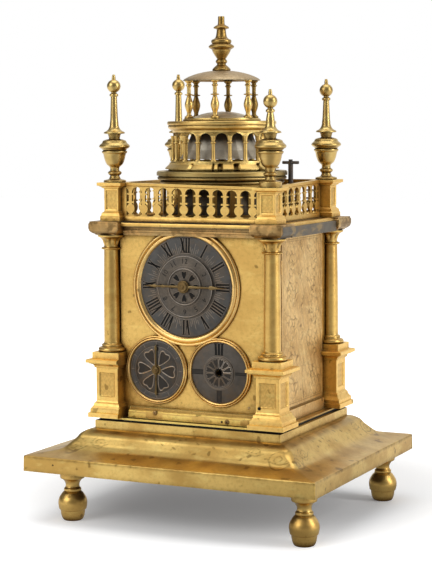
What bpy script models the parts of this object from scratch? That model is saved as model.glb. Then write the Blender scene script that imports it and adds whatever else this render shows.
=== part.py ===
"""A gilt brass tower table clock, built piece by piece at its real size.

Units are metres, +Z is up, the front is at -Y and the right side at +X. The origin is on the surface
that the four feet stand on, at the middle of the base.
"""

import math

import bmesh
import bpy
from mathutils import Matrix, Vector

OBJECT_NAME = "tower_table_clock"

# Clearances shared by all pieces
GAP = 0.0003
OVERRUN = 0.002
MERGE = 0.000002

# How finely round shapes are divided
ARC_STEP = math.radians(64)
BALL_ARC_STEP = math.radians(48)
SMOOTH_ANGLE = math.radians(50)
TINY_SEGMENTS = 6
SMALL_SEGMENTS = 8
COLUMN_SEGMENTS = 10
BELL_SEGMENTS = 18
DISC_SEGMENTS = 20
BEZEL_SEGMENTS = 28
ARCH_FACETS = 3

# Feet
FOOT_HEIGHT = 0.0309
FOOT_RADIUS = 0.0092
FOOT_INSET_SIDE = 0.0145
FOOT_INSET_FRONT = 0.0183
FRONT_LEFT_FOOT_SHIFT = 0.0108
# Height share, radius share and bulge of the arc to the next point, from the top down
FOOT_SHARES = (
    (1.000, 0.87, 0.0),
    (0.890, 0.84, -0.25),
    (0.780, 0.51, 0.0),
    (0.690, 0.47, 0.0),
    (0.655, 0.58, 0.3),
    (0.612, 0.58, 0.0),
    (0.590, 0.60, 0.36),
    (0.236, 0.94, 0.0),
    (0.222, 0.85, 0.2),
    (0.000, 0.62, 0.0),
)

# Base: a hollow sheet moulding over a wooden board
SLAB_WIDTH = 0.200
SLAB_DEPTH = 0.171
RIM_HEIGHT = 0.0097
OGEE_HEIGHT = 0.0156
PLINTH_MARGIN_SIDE = 0.0102
PLINTH_MARGIN_FRONT = 0.00955
PLINTH_HEIGHT = 0.0050
BASE_SHEET = 0.0014
BOARD_DROP = 0.0014
BOARD_STEP = 0.0020
BOARD_THICKNESS = 0.0056
BOARD_INSET = 0.0070
# Height share above the rim's top and share of the way out from the plinth to the rim
OGEE_SHARES = (
    (0.00, 1.000),
    (0.07, 0.800),
    (0.12, 0.580),
    (0.17, 0.480),
    (0.36, 0.390),
    (0.64, 0.290),
    (0.84, 0.215),
    (0.95, 0.120),
    (1.00, 0.000),
)

# Case: floor plate, walls and the re-entrant corners where the columns stand
FLOOR_MARGIN = 0.0075
FLOOR_THICKNESS = 0.0017
CASE_SHEET = 0.0015
DIAL_MARGIN = 0.0183
FRONT_SETBACK = 0.0045
CORNER_SETBACK = 0.0049
BACK_RETURN = 0.0090
SKIRT_HEIGHT = 0.0070
SKIRT_PROJECTION = 0.0040

# Columns and pedestals
COLUMN_OUT_SIDE = 0.0014
COLUMN_OUT_FRONT = 0.0010
PEDESTAL_WIDTH = 0.0156
PEDESTAL_HEIGHT = 0.0416
PEDESTAL_PROJECTION = 0.0050
# Height share and projection share, from the bottom up
PEDESTAL_SHARES = (
    (0.000, 0.84),
    (0.067, 0.84),
    (0.080, 0.62),
    (0.125, 0.62),
    (0.165, 0.30),
    (0.215, 0.24),
    (0.250, 0.00),
    (0.755, 0.00),
    (0.775, 0.24),
    (0.810, 0.32),
    (0.835, 0.86),
    (0.847, 1.00),
    (0.877, 1.00),
    (0.905, 0.55),
    (0.920, 0.36),
    (1.000, 0.36),
)
RECESS_DEPTH = 0.0007
PEDESTAL_RECESS_WIDTH = 0.0110
PEDESTAL_RECESS_HEIGHT = 0.0154
PEDESTAL_RECESS_SHARE = 0.50
COLUMN_RADIUS = 0.0090
COLUMN_SHARES = (
    (1.000, 0.96, 0.0),
    (0.990, 0.86, -0.28),
    (0.930, 0.54, 0.0),
    (0.896, 0.53, 0.0),
    (0.886, 0.72, 0.0),
    (0.872, 0.53, 0.0),
    (0.082, 0.59, 0.0),
    (0.040, 0.76, 0.0),
    (0.032, 0.94, 0.0),
    (0.016, 1.00, 0.0),
    (0.000, 0.94, 0.0),
)

# Entablature and roof plate
ENTABLATURE_HEIGHT = 0.0086
FRIEZE_PROJECTION = 0.0045
FRIEZE_SHEET = 0.0018
CORNER_BLOCK_WIDTH = 0.0216
ROOF_THICKNESS = 0.0032
ROOF_EDGE_PROJECTION = 0.0020

# Attic: posts, balustrades and corner finials
POST_INSET_SIDE = 0.0019
POST_INSET_FRONT = 0.0020
POST_WIDTH = 0.0102
POST_HEIGHT = 0.0241
POST_PROJECTION = 0.0034
POST_SHARES = (
    (0.000, 0.60),
    (0.110, 0.60),
    (0.150, 0.42),
    (0.200, 0.38),
    (0.249, 0.00),
    (0.842, 0.00),
    (0.875, 0.35),
    (0.938, 0.90),
    (0.938, 1.00),
    (1.000, 1.00),
)
POST_RECESS_WIDTH = 0.0066
POST_RECESS_HEIGHT = 0.0086
POST_RECESS_SHARE = 0.50
RAIL_PLATE = 0.0022
RAIL_DEPTH = 0.0034
RAIL_TOP_HEIGHT = 0.0022
RAIL_BOTTOM_HEIGHT = 0.0030
FRONT_RAIL_OUT = 0.0010
SIDE_RAIL_IN = 0.0019
RAIL_END = 0.0066
RAIL_LAP_SHARE = 0.75
FRONT_BALUSTERS = 10
SIDE_BALUSTERS = 8
BALUSTER_BULB_RADIUS = 0.0027
BALUSTER_NECK = 0.0022
BALUSTER_FOOT = 0.0056
BALUSTER_BULB_SHARE = 0.23
BALUSTER_ARCH_SHARE = 0.86
FINIAL_BODY_HEIGHT = 0.0341
FINIAL_RADIUS = 0.0097
FINIAL_SHARES = (
    (1.000, 0.35, 0.0),
    (0.950, 0.68, 0.0),
    (0.925, 0.68, 0.0),
    (0.900, 0.38, 0.0),
    (0.820, 0.36, 0.0),
    (0.770, 0.75, 0.0),
    (0.668, 1.00, 0.0),
    (0.625, 0.72, 0.0),
    (0.570, 0.83, 0.0),
    (0.520, 0.74, 0.30),
    (0.230, 0.29, 0.0),
    (0.175, 0.45, 0.0),
    (0.120, 0.29, 0.0),
    (0.070, 0.38, 0.0),
    (0.040, 0.72, 0.0),
    (0.000, 0.72, 0.0),
)
SPINDLE_TOP_RADIUS = 0.00165
SPINDLE_COLLAR_RADIUS = 0.0024
SPINDLE_COLLAR_HEIGHT = 0.0024
BALL_RADIUS = 0.0041
TIP_HEIGHT = 0.0032
TIP_RADIUS = 0.0012
FRONT_LEFT_SPINDLE = 0.0201
FRONT_RIGHT_SPINDLE = 0.0093
BACK_RIGHT_SPINDLE = 0.0174
BACK_LEFT_SPINDLE = 0.0224

# Tower: two arcaded drums, a low dome, an open lantern and the top finial
DRUM_MARGIN_FRONT = 0.0071
DRUM_MARGIN_SIDE = 0.0137
LOWER_DRUM_SHEET = 0.0015
LOWER_WALL_HEIGHT = 0.0232
LOWER_CORNICE_PROJECTION = 0.0037
LOWER_CORNICE_HEIGHT = 0.0075
LOWER_ARCHES = 20
LOWER_ARCH_SHARE = 0.68
LOWER_ARCH_SILL = 0.0040
LOWER_ARCH_HEAD = 0.0017
UPPER_DRUM_INSET = 0.0070
UPPER_DRUM_SHEET = 0.0015
UPPER_BASE_PROJECTION = 0.0053
UPPER_BASE_HEIGHT = 0.0062
UPPER_FLANGE_SHARE = 0.16
UPPER_WALL_HEIGHT = 0.0188
UPPER_ARCHES = 19
UPPER_ARCH_SHARE = 0.693
UPPER_ARCH_SILL = 0.0004
UPPER_ARCH_HEAD = 0.0012
CORNICE_PROJECTION = 0.0036
CORNICE_HEIGHT = 0.0062
DOME_INSET = 0.0067
DOME_RIM_HEIGHT = 0.0013
DOME_RISE = 0.0053
DOME_SHEET = 0.0016
LANTERN_INSET = 0.0027
LANTERN_TURN = math.radians(44.7)
LANTERN_COLUMNS = 6
LANTERN_COLUMN_RADIUS = 0.0028
LANTERN_HEIGHT = 0.0245
LANTERN_COLUMN_SHARES = (
    (1.00, 0.92, 0.0),
    (0.93, 0.45, 0.0),
    (0.68, 0.45, 0.0),
    (0.64, 0.95, 0.0),
    (0.60, 0.45, 0.0),
    (0.40, 0.96, 0.0),
    (0.29, 0.60, 0.0),
    (0.24, 1.00, 0.0),
    (0.00, 1.00, 0.0),
)
CUPOLA_PROJECTION = 0.0027
CUPOLA_RIM_HEIGHT = 0.0013
CUPOLA_RISE = 0.0056
TOP_FINIAL_HEIGHT = 0.0336
TOP_FINIAL_RADIUS = 0.0081
TOP_FINIAL_SHARES = (
    (1.000, 0.24, 0.0),
    (0.850, 0.27, 0.0),
    (0.820, 0.56, 0.0),
    (0.795, 0.58, 0.0),
    (0.775, 0.37, 0.0),
    (0.625, 0.44, 0.0),
    (0.590, 0.56, 0.0),
    (0.568, 0.76, 0.3),
    (0.510, 0.74, 0.0),
    (0.490, 0.86, 0.0),
    (0.437, 1.00, 0.0),
    (0.392, 0.80, 0.2),
    (0.260, 0.50, 0.0),
    (0.205, 0.33, 0.0),
    (0.160, 0.45, 0.0),
    (0.115, 0.34, 0.0),
    (0.060, 0.56, 0.0),
    (0.000, 0.70, 0.0),
)

# Dials on the front
DIAL_X = -0.0031
DIAL_RISE = 0.0501
DIAL_RADIUS = 0.0317
BEZEL_TRIM = 0.0008
BEZEL_WIDTH = 0.0055
BEZEL_HEIGHT = 0.0021
DIAL_THICKNESS = 0.0010
ALARM_DISC_SHARE = 0.609
ALARM_DISC_THICKNESS = 0.0012
ALARM_BOSS_SHARE = 0.611
ALARM_BOSS_HEIGHT = 0.0012
SMALL_DIAL_LAP = 0.0012
SMALL_DIAL_SPACING = 0.0005
SMALL_DIAL_SHIFT = 0.0006
SMALL_DIAL_LIFT = 0.0022
SMALL_BEZEL_WIDTH = 0.0028
ROSETTE_RADIUS = 0.0098
ROSETTE_HEIGHT = 0.0008
RIGHT_HUB_HOLE = 0.0021
HAND_THICKNESS = 0.0008
HAND_TIP_HALF = 0.0004
HAND_WAIST_HALF = 0.0009
HAND_LEAF_HALF = 0.0019
HOUR_HAND_ROOM = 0.0017
HOUR_HAND_TAIL_ROOM = 0.0047
HOUR_HUB_RADIUS = 0.0040
HOUR_HUB_HEIGHT = 0.0026
LEFT_HAND_ROOM = 0.0027
LEFT_HUB_RADIUS = 0.0022
LEFT_HUB_HEIGHT = 0.0016
HOUR_ARBOR_RADIUS = 0.0017
LEFT_ARBOR_RADIUS = 0.0011

# Side doors
DOOR_SHEET = 0.0012
DOOR_SKIRT_PROJECTION = 0.0025
DOOR_SKIRT_START = 0.0034
HINGE_RADIUS = 0.0010
HINGE_OFFSET = 0.0009
HINGE_SETBACK = 0.0131
KNUCKLE_HEIGHT = 0.0090
KNUCKLE_SHARES = (0.16, 0.84)

# Bells on one rod that rises from the roof plate
HOUR_BELL_CLEARANCE = 0.0046
HOUR_BELL_HEAD_ROOM = 0.0052
HOUR_BELL_LIFT = 0.0036
ALARM_BELL_CLEARANCE = 0.0042
ALARM_BELL_HEAD_ROOM = 0.0003
ALARM_BELL_LIFT = 0.0012
BELL_WALL = 0.0014
BELL_SHARES = (
    (1.00, 0.44, 0.0),
    (0.86, 0.72, 0.0),
    (0.30, 0.87, 0.0),
    (0.00, 1.00, 0.0),
)
ROD_SHOULDER_RADIUS = 0.0040
ROD_RADIUS = 0.0026
ROD_TIP_RADIUS = 0.0016
ROD_TIP_RISE = 0.0020

# Bolt with a cross handle behind the right balustrade
BOLT_INSET = 0.0082
BOLT_Y = 0.0095
BOLT_RADIUS = 0.0017
BOLT_RISE = 0.0089
BOLT_BAR_LENGTH = 0.0110
BOLT_BAR_RADIUS = 0.0010
BOLT_KNOB_RADIUS = 0.0014
BOLT_TAIL = 0.0030

# Movement frame between the floor plate and its own top plate
MOVEMENT_SIDE_ROOM = 0.0115
MOVEMENT_END_ROOM = 0.0085
MOVEMENT_HEAD_ROOM = 0.0099
MOVEMENT_TOP_THICKNESS = 0.0020
BAR_THICKNESS = 0.0020
BAR_INSET = 0.0110
BAR_SETBACK = 0.0040
VERGE_ROOM = 0.0061
STRIKE_END_ROOM = 0.0090
PILLAR_WIDTH = 0.0050
ARBOR_RADIUS = 0.0012

# Going train: positions in X and Z, each wheel in mesh with the next pinion
FUSEE_X = 0.0150
GREAT_WHEEL_ROOM = 0.01015
GREAT_TEETH = 48
GREAT_MODULE = 0.00100
SECOND_TEETH = 54
SECOND_MODULE = 0.00066
SECOND_ANGLE = math.radians(120)
THIRD_TEETH = 54
THIRD_MODULE = 0.00060
THIRD_ANGLE = math.radians(58)
CROWN_ANGLE = math.radians(128)
HOUR_TEETH = 72
PINION_LEAVES = 6
MESH_CLEARANCE = 0.00015
WHEEL_THICKNESS = 0.0014
PINION_LENGTH = 0.0040
RIM_SHARE = 0.80
HUB_SHARE = 0.24
CROSSINGS = 4
# Tooth shapes in modules and in shares of the tooth pitch
WHEEL_TIP = 0.95
WHEEL_ROOT = 1.30
LEAF_TIP = 0.60
LEAF_ROOT = 1.35
LEAF_TIP_SHARE = 0.14
LEAF_ROOT_SHARE = 0.36
HOUR_WHEEL_LEAD = 0.0055
SECOND_STEP = 0.0040
GREAT_STEP = 0.0045
THIRD_STEP = 0.0055
CROWN_STEP = 0.0040
FUSEE_SMALL_RADIUS = 0.0060
FUSEE_LARGE_RADIUS = 0.0128
FUSEE_LENGTH = 0.0168
FUSEE_TURNS = 4
FUSEE_GROOVE = 0.0006
BARREL_X = -0.0270
BARREL_RADIUS = 0.0132
BARREL_FLANGE = 0.0012
BARREL_FLANGE_THICKNESS = 0.0010
CROWN_RADIUS = 0.0085
CROWN_LENGTH = 0.0044
CROWN_SHEET = 0.0011
CROWN_TEETH = 17
CROWN_TOOTH_DEPTH = 0.0024
BALANCE_RADIUS = 0.0260
BALANCE_RIM = 0.0022
BALANCE_THICKNESS = 0.0018
BALANCE_LIFT = 0.0016
BALANCE_ARM_WIDTH = 0.0030
VERGE_RADIUS = 0.0008
VERGE_STEP = 0.0026
PALLET_LENGTH = 0.0022
PALLET_HEIGHT = 0.0020
PALLET_SHEET = 0.0006
POTENCE_WIDTH = 0.0040
POTENCE_THICKNESS = 0.0020

# Strike train: barrel with its great wheel and lifting pins, fly, and the hammer on an upright arbor
STRIKE_X = 0.0000
STRIKE_STEP = 0.0080
STRIKE_DRUM_RADIUS = 0.0140
STRIKE_DRUM_LENGTH = 0.0180
STRIKE_TEETH = 48
STRIKE_MODULE = 0.00095
STRIKE_PINS = 6
STRIKE_PIN_INSET = 0.0038
STRIKE_PIN_RADIUS = 0.0010
STRIKE_PIN_LENGTH = 0.0028
FLY_ANGLE = math.radians(28)
FLY_RADIUS = 0.0100
FLY_LENGTH = 0.0100
FLY_SHEET = 0.0007
HAMMER_X = 0.0050
HAMMER_INSET = 0.0118
HAMMER_ARBOR_RADIUS = 0.0011
HAMMER_ARM_RADIUS = 0.0009
HAMMER_ARM_LENGTH = 0.0126
HAMMER_HEAD_RADIUS = 0.0024
HAMMER_HEAD_HEIGHT = 0.0040
HAMMER_HEAD_LIFT = 0.0042
HAMMER_FOOT_ROOM = 0.0013
HAMMER_REST = math.radians(115)

# Colours: red, green, blue, roughness and metallic
GILT = (0.86, 0.62, 0.26, 0.32, 1.0)
WORN_GILT = (0.70, 0.53, 0.30, 0.45, 1.0)
DIAL_GREY = (0.16, 0.16, 0.17, 0.50, 0.9)
BEZEL_GOLD = (0.88, 0.55, 0.20, 0.28, 1.0)
BELL_GREY = (0.55, 0.54, 0.52, 0.35, 1.0)
IRON = (0.10, 0.09, 0.085, 0.55, 0.9)
STEEL = (0.42, 0.42, 0.43, 0.35, 1.0)
WOOD = (0.08, 0.055, 0.04, 0.80, 0.0)

# Movement worked out from its own clearances: levels from front to back
BAR_SPAN = (
    SECOND_STEP + GREAT_STEP + THIRD_STEP + CROWN_STEP + CROWN_LENGTH + PALLET_LENGTH + GAP + VERGE_ROOM
    + STRIKE_STEP + STRIKE_DRUM_LENGTH + STRIKE_END_ROOM
)
MOVEMENT_DEPTH = BAR_SPAN + 2 * BAR_SETBACK
FRONT_BAR_Y = -BAR_SPAN / 2
BACK_BAR_Y = BAR_SPAN / 2
HOUR_WHEEL_Y = FRONT_BAR_Y - HOUR_WHEEL_LEAD
SECOND_Y = FRONT_BAR_Y + SECOND_STEP
GREAT_Y = SECOND_Y + GREAT_STEP
THIRD_Y = GREAT_Y + THIRD_STEP
CROWN_Y = THIRD_Y + CROWN_STEP
VERGE_Y = CROWN_Y + CROWN_LENGTH + PALLET_LENGTH + GAP
MIDDLE_BAR_Y = VERGE_Y + VERGE_ROOM
STRIKE_Y = MIDDLE_BAR_Y + STRIKE_STEP
STRIKE_PIN_CIRCLE = STRIKE_TEETH * STRIKE_MODULE / 2 - STRIKE_PIN_INSET

# Plan worked out from the main dial and the movement
FRONT_WIDTH = 2 * (DIAL_RADIUS + DIAL_MARGIN)
CASE_WIDTH = FRONT_WIDTH + 2 * FRONT_SETBACK
CASE_DEPTH = MOVEMENT_DEPTH + 2 * MOVEMENT_END_ROOM
MOVEMENT_WIDTH = CASE_WIDTH - 2 * MOVEMENT_SIDE_ROOM
BAR_WIDTH = MOVEMENT_WIDTH - 2 * BAR_INSET
FLOOR_WIDTH = CASE_WIDTH + 2 * FLOOR_MARGIN
FLOOR_DEPTH = CASE_DEPTH + 2 * FLOOR_MARGIN
PLINTH_WIDTH = CASE_WIDTH + 2 * PLINTH_MARGIN_SIDE
PLINTH_DEPTH = CASE_DEPTH + 2 * PLINTH_MARGIN_FRONT
COLUMN_X = CASE_WIDTH / 2 + COLUMN_OUT_SIDE
COLUMN_Y = CASE_DEPTH / 2 + COLUMN_OUT_FRONT
ENTABLATURE_WIDTH = 2 * COLUMN_X + CORNER_BLOCK_WIDTH
ENTABLATURE_DEPTH = 2 * COLUMN_Y + CORNER_BLOCK_WIDTH
FRIEZE_DEPTH = CASE_DEPTH + 2 * FRIEZE_PROJECTION
ROOF_EDGE_DEPTH = FRIEZE_DEPTH + 2 * ROOF_EDGE_PROJECTION
HINGE_Y = CASE_DEPTH / 2 - HINGE_SETBACK
POST_X = COLUMN_X - POST_INSET_SIDE
POST_Y = COLUMN_Y - POST_INSET_FRONT
FRONT_RAIL_Y = POST_Y + FRONT_RAIL_OUT
SIDE_RAIL_X = POST_X - SIDE_RAIL_IN
BOLT_X = SIDE_RAIL_X - BOLT_INSET

# Radii of the tower, from the room inside the balustrades
LOWER_DRUM_RADIUS = min(FRONT_RAIL_Y - DRUM_MARGIN_FRONT, SIDE_RAIL_X - DRUM_MARGIN_SIDE)
LOWER_CORNICE_RADIUS = LOWER_DRUM_RADIUS + LOWER_CORNICE_PROJECTION
LOWER_ARCH_WIDTH = LOWER_ARCH_SHARE * math.tau * LOWER_DRUM_RADIUS / LOWER_ARCHES
LOWER_ARCH_HEIGHT = LOWER_WALL_HEIGHT - LOWER_ARCH_SILL - LOWER_ARCH_HEAD
UPPER_DRUM_RADIUS = LOWER_DRUM_RADIUS - UPPER_DRUM_INSET
UPPER_BASE_RADIUS = UPPER_DRUM_RADIUS + UPPER_BASE_PROJECTION
UPPER_ARCH_WIDTH = UPPER_ARCH_SHARE * math.tau * UPPER_DRUM_RADIUS / UPPER_ARCHES
UPPER_ARCH_HEIGHT = UPPER_WALL_HEIGHT - UPPER_ARCH_SILL - UPPER_ARCH_HEAD
CORNICE_RADIUS = UPPER_DRUM_RADIUS + CORNICE_PROJECTION
DOME_RADIUS = UPPER_DRUM_RADIUS - DOME_INSET
LANTERN_RADIUS = DOME_RADIUS - LANTERN_INSET
CUPOLA_RADIUS = LANTERN_RADIUS + CUPOLA_PROJECTION
HOUR_BELL_RADIUS = LOWER_DRUM_RADIUS - HOUR_BELL_CLEARANCE
HOUR_BELL_HEIGHT = LOWER_WALL_HEIGHT - HOUR_BELL_HEAD_ROOM
ALARM_BELL_RADIUS = UPPER_DRUM_RADIUS - ALARM_BELL_CLEARANCE
ALARM_BELL_HEIGHT = UPPER_WALL_HEIGHT - ALARM_BELL_HEAD_ROOM
BOLT_HEIGHT = LOWER_WALL_HEIGHT + LOWER_CORNICE_HEIGHT + BOLT_RISE
HAMMER_Y = HOUR_BELL_RADIUS - HAMMER_INSET
HAMMER_TAIL = HAMMER_Y - STRIKE_Y - WHEEL_THICKNESS - STRIKE_PIN_LENGTH - GAP

# Levels worked out from the sizes above
BOARD_BOTTOM = FOOT_HEIGHT + GAP
RIM_BOTTOM = BOARD_BOTTOM + BOARD_DROP
RIM_TOP = RIM_BOTTOM + RIM_HEIGHT
PLINTH_BOTTOM = RIM_TOP + OGEE_HEIGHT
PLINTH_TOP = PLINTH_BOTTOM + PLINTH_HEIGHT
FLOOR_BOTTOM = PLINTH_TOP + GAP
FLOOR_TOP = FLOOR_BOTTOM + FLOOR_THICKNESS
PEDESTAL_BOTTOM = FLOOR_TOP + GAP
COLUMN_BOTTOM = PEDESTAL_BOTTOM + PEDESTAL_HEIGHT + GAP
WALL_BOTTOM = FLOOR_TOP + GAP
FUSEE_Z = FLOOR_TOP + GREAT_MODULE * (GREAT_TEETH / 2 + WHEEL_TIP) + GREAT_WHEEL_ROOM
STRIKE_Z = FUSEE_Z
HAMMER_FOOT_Z = STRIKE_Z + STRIKE_DRUM_RADIUS + BARREL_FLANGE + HAMMER_FOOT_ROOM
DIAL_Z = FUSEE_Z + DIAL_RISE
WALL_TOP = DIAL_Z + DIAL_RADIUS + BEZEL_WIDTH - BEZEL_TRIM
ROOF_BOTTOM = WALL_TOP + GAP
ENTABLATURE_TOP = ROOF_BOTTOM + ROOF_THICKNESS
ENTABLATURE_BOTTOM = ENTABLATURE_TOP - ENTABLATURE_HEIGHT
COLUMN_HEIGHT = ENTABLATURE_BOTTOM - GAP - COLUMN_BOTTOM
ATTIC_BOTTOM = ENTABLATURE_TOP + GAP
FINIAL_BOTTOM = ATTIC_BOTTOM + POST_HEIGHT + GAP
LOWER_CORNICE_BOTTOM = ATTIC_BOTTOM + LOWER_WALL_HEIGHT
UPPER_DRUM_BOTTOM = LOWER_CORNICE_BOTTOM + LOWER_CORNICE_HEIGHT + GAP
UPPER_WALL_BOTTOM = UPPER_DRUM_BOTTOM + UPPER_BASE_HEIGHT
CORNICE_BOTTOM = UPPER_WALL_BOTTOM + UPPER_WALL_HEIGHT + GAP
DOME_BOTTOM = CORNICE_BOTTOM + CORNICE_HEIGHT
LANTERN_BOTTOM = DOME_BOTTOM + DOME_RIM_HEIGHT
CUPOLA_BOTTOM = LANTERN_BOTTOM + LANTERN_HEIGHT
TOP_FINIAL_BOTTOM = CUPOLA_BOTTOM + CUPOLA_RIM_HEIGHT + CUPOLA_RISE
FRONT_Y = -CASE_DEPTH / 2
DIAL_BACK_Y = FRONT_Y - GAP
DIAL_FACE_Y = DIAL_BACK_Y - DIAL_THICKNESS
HAND_Y = DIAL_FACE_Y - 2 * GAP - ALARM_DISC_THICKNESS - ALARM_BOSS_HEIGHT
MOVEMENT_TOP_Z = ROOF_BOTTOM - MOVEMENT_HEAD_ROOM
ALARM_DISC_RADIUS = ALARM_DISC_SHARE * DIAL_RADIUS
ALARM_BOSS_RADIUS = ALARM_BOSS_SHARE * ALARM_DISC_RADIUS
HOUR_HAND_REACH = DIAL_RADIUS - HOUR_HAND_ROOM
HOUR_HAND_TAIL = DIAL_RADIUS - HOUR_HAND_TAIL_ROOM
MOVEMENT_FRONT = FRONT_BAR_Y + BAR_THICKNESS + GAP
MOVEMENT_MIDDLE = MIDDLE_BAR_Y - GAP
STRIKE_FRONT = MIDDLE_BAR_Y + BAR_THICKNESS + GAP
STRIKE_BACK = BACK_BAR_Y - GAP

# Small dials: as large as fits between the skirt and the main bezel, each tucked a little under that bezel
LAP_REACH = DIAL_RADIUS + BEZEL_WIDTH - SMALL_DIAL_LAP
SHIFTED_REACH = LAP_REACH + SMALL_DIAL_SHIFT
DIAL_ROOM = DIAL_Z - WALL_BOTTOM - GAP - SKIRT_HEIGHT - SMALL_DIAL_LIFT
ROOM_SUM = DIAL_ROOM + SHIFTED_REACH
ROOM_PRODUCT = DIAL_ROOM**2 - SHIFTED_REACH * (LAP_REACH - SMALL_DIAL_SHIFT)
SMALL_BEZEL_RADIUS = ROOM_SUM - math.sqrt(ROOM_SUM**2 - ROOM_PRODUCT)
SMALL_DIAL_RADIUS = SMALL_BEZEL_RADIUS - SMALL_BEZEL_WIDTH
LEFT_HAND_REACH = SMALL_DIAL_RADIUS - LEFT_HAND_ROOM
LEFT_DIAL_OFFSET = SMALL_BEZEL_RADIUS - SMALL_DIAL_SHIFT
RIGHT_DIAL_OFFSET = SMALL_BEZEL_RADIUS + SMALL_DIAL_SHIFT + SMALL_DIAL_SPACING
LEFT_DIAL_X = DIAL_X - LEFT_DIAL_OFFSET
RIGHT_DIAL_X = DIAL_X + RIGHT_DIAL_OFFSET
LEFT_DIAL_Z = DIAL_Z - math.sqrt((LAP_REACH + SMALL_BEZEL_RADIUS) ** 2 - LEFT_DIAL_OFFSET**2)
RIGHT_DIAL_Z = DIAL_Z - math.sqrt((LAP_REACH + SMALL_BEZEL_RADIUS) ** 2 - RIGHT_DIAL_OFFSET**2)

CORNERS = {
    "front_left": (-1, -1),
    "front_right": (1, -1),
    "back_right": (1, 1),
    "back_left": (-1, 1),
}
SPINDLES = {
    "front_left": FRONT_LEFT_SPINDLE,
    "front_right": FRONT_RIGHT_SPINDLE,
    "back_right": BACK_RIGHT_SPINDLE,
    "back_left": BACK_LEFT_SPINDLE,
}


# Scene, collections and materials
def clear_scene():
    for obj in list(bpy.data.objects):
        bpy.data.objects.remove(obj, do_unlink=True)


def collection(name, hidden=False):
    found = bpy.data.collections.new(name)
    bpy.context.scene.collection.children.link(found)
    found.hide_render = hidden
    return found


def material(name, look):
    made = bpy.data.materials.new(name)
    made.use_nodes = True
    shader = made.node_tree.nodes["Principled BSDF"]
    red, green, blue, roughness, metallic = look
    shader.inputs["Base Color"].default_value = (red, green, blue, 1.0)
    shader.inputs["Roughness"].default_value = roughness
    shader.inputs["Metallic"].default_value = metallic
    made.diffuse_color = (red, green, blue, 1.0)
    return made


# Building blocks
def add_object(name, mesh, look=None):
    """A new object in the clock's collection, or a hidden cutter when no look is given."""
    obj = bpy.data.objects.new(name, mesh)
    if look is None:
        CUTTERS.objects.link(obj)
        obj.hide_render = True
        obj.display_type = "WIRE"
    else:
        PARTS.objects.link(obj)
        mesh.materials.clear()
        mesh.materials.append(material(name, look))
    return obj


def mesh_from(name, work):
    bmesh.ops.recalc_face_normals(work, faces=work.faces)
    mesh = bpy.data.meshes.new(name)
    work.to_mesh(mesh)
    work.free()
    return mesh


def box_mesh(name, low, high):
    """A box between two corners."""
    low, high = Vector(low), Vector(high)
    work = bmesh.new()
    bmesh.ops.create_cube(work, size=1.0)
    size = high - low
    bmesh.ops.scale(work, vec=size, verts=work.verts)
    bmesh.ops.translate(work, vec=(low + high) / 2, verts=work.verts)
    return mesh_from(name, work)


def rod_mesh(name, start, end, radius, segments=SMALL_SEGMENTS):
    """A round rod between two points."""
    start, end = Vector(start), Vector(end)
    along = end - start
    work = bmesh.new()
    bmesh.ops.create_cone(
        work, cap_ends=True, segments=segments, radius1=radius, radius2=radius, depth=along.length
    )
    turn = along.to_track_quat("Z", "Y").to_matrix().to_4x4()
    bmesh.ops.transform(work, matrix=Matrix.Translation((start + end) / 2) @ turn, verts=work.verts)
    return mesh_from(name, work)


def arc_points(start, end, bulge, step=ARC_STEP):
    """The inner points of an arc between two profile points; its rise is bulge times half its chord."""
    if not bulge:
        return []
    (r0, z0), (r1, z1) = start, end
    sweep = 4 * math.atan(bulge)
    count = max(1, round(abs(sweep) / step))
    middle = ((r0 + r1) / 2, (z0 + z1) / 2)
    chord = (r1 - r0, z1 - z0)
    reach = (1 - bulge * bulge) / (4 * bulge)
    centre = (middle[0] + chord[1] * reach, middle[1] - chord[0] * reach)
    first = math.atan2(z0 - centre[1], r0 - centre[0])
    radius = math.hypot(r0 - centre[0], z0 - centre[1])
    points = []
    for index in range(1, count):
        angle = first - sweep * index / count
        points.append((centre[0] + radius * math.cos(angle), centre[1] + radius * math.sin(angle)))
    return points


def profile_points(shares, height, radius, bottom=0.0, step=ARC_STEP):
    """A turned outline from its shares of a height and a radius, top to bottom, with its arcs worked out."""
    corners = [(share[1] * radius, bottom + share[0] * height) for share in shares]
    points = []
    for index, corner in enumerate(corners):
        points.append(corner)
        if index + 1 < len(corners):
            points += arc_points(corner, corners[index + 1], shares[index][2], step)
    return points


def ball_points(radius, centre_z, top_radius, bottom_radius, step=BALL_ARC_STEP):
    """Points down a ball between two smaller radii."""
    top = math.asin(min(1.0, top_radius / radius))
    bottom = math.pi - math.asin(min(1.0, bottom_radius / radius))
    count = math.ceil((bottom - top) / step)
    points = []
    for index in range(count + 1):
        angle = top + (bottom - top) * index / count
        points.append((radius * math.sin(angle), centre_z + radius * math.cos(angle)))
    return points


def turned_mesh(name, points, segments, closed=False):
    """Turns an outline about Z with a Screw modifier. An open outline is closed on the axis at both ends."""
    work = bmesh.new()
    if not closed:
        points = [(0.0, points[0][1])] + list(points) + [(0.0, points[-1][1])]
    verts = [work.verts.new((r, 0.0, z)) for r, z in points]
    pairs = list(zip(verts, verts[1:]))
    if closed:
        pairs.append((verts[-1], verts[0]))
    for first, second in pairs:
        work.edges.new((first, second))
    mesh = bpy.data.meshes.new(name)
    work.to_mesh(mesh)
    work.free()
    obj = bpy.data.objects.new(name, mesh)
    CUTTERS.objects.link(obj)
    screw = obj.modifiers.new("turn", "SCREW")
    screw.steps = segments
    screw.render_steps = segments
    screw.use_merge_vertices = True
    screw.merge_threshold = MERGE
    return realised(obj)


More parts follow.
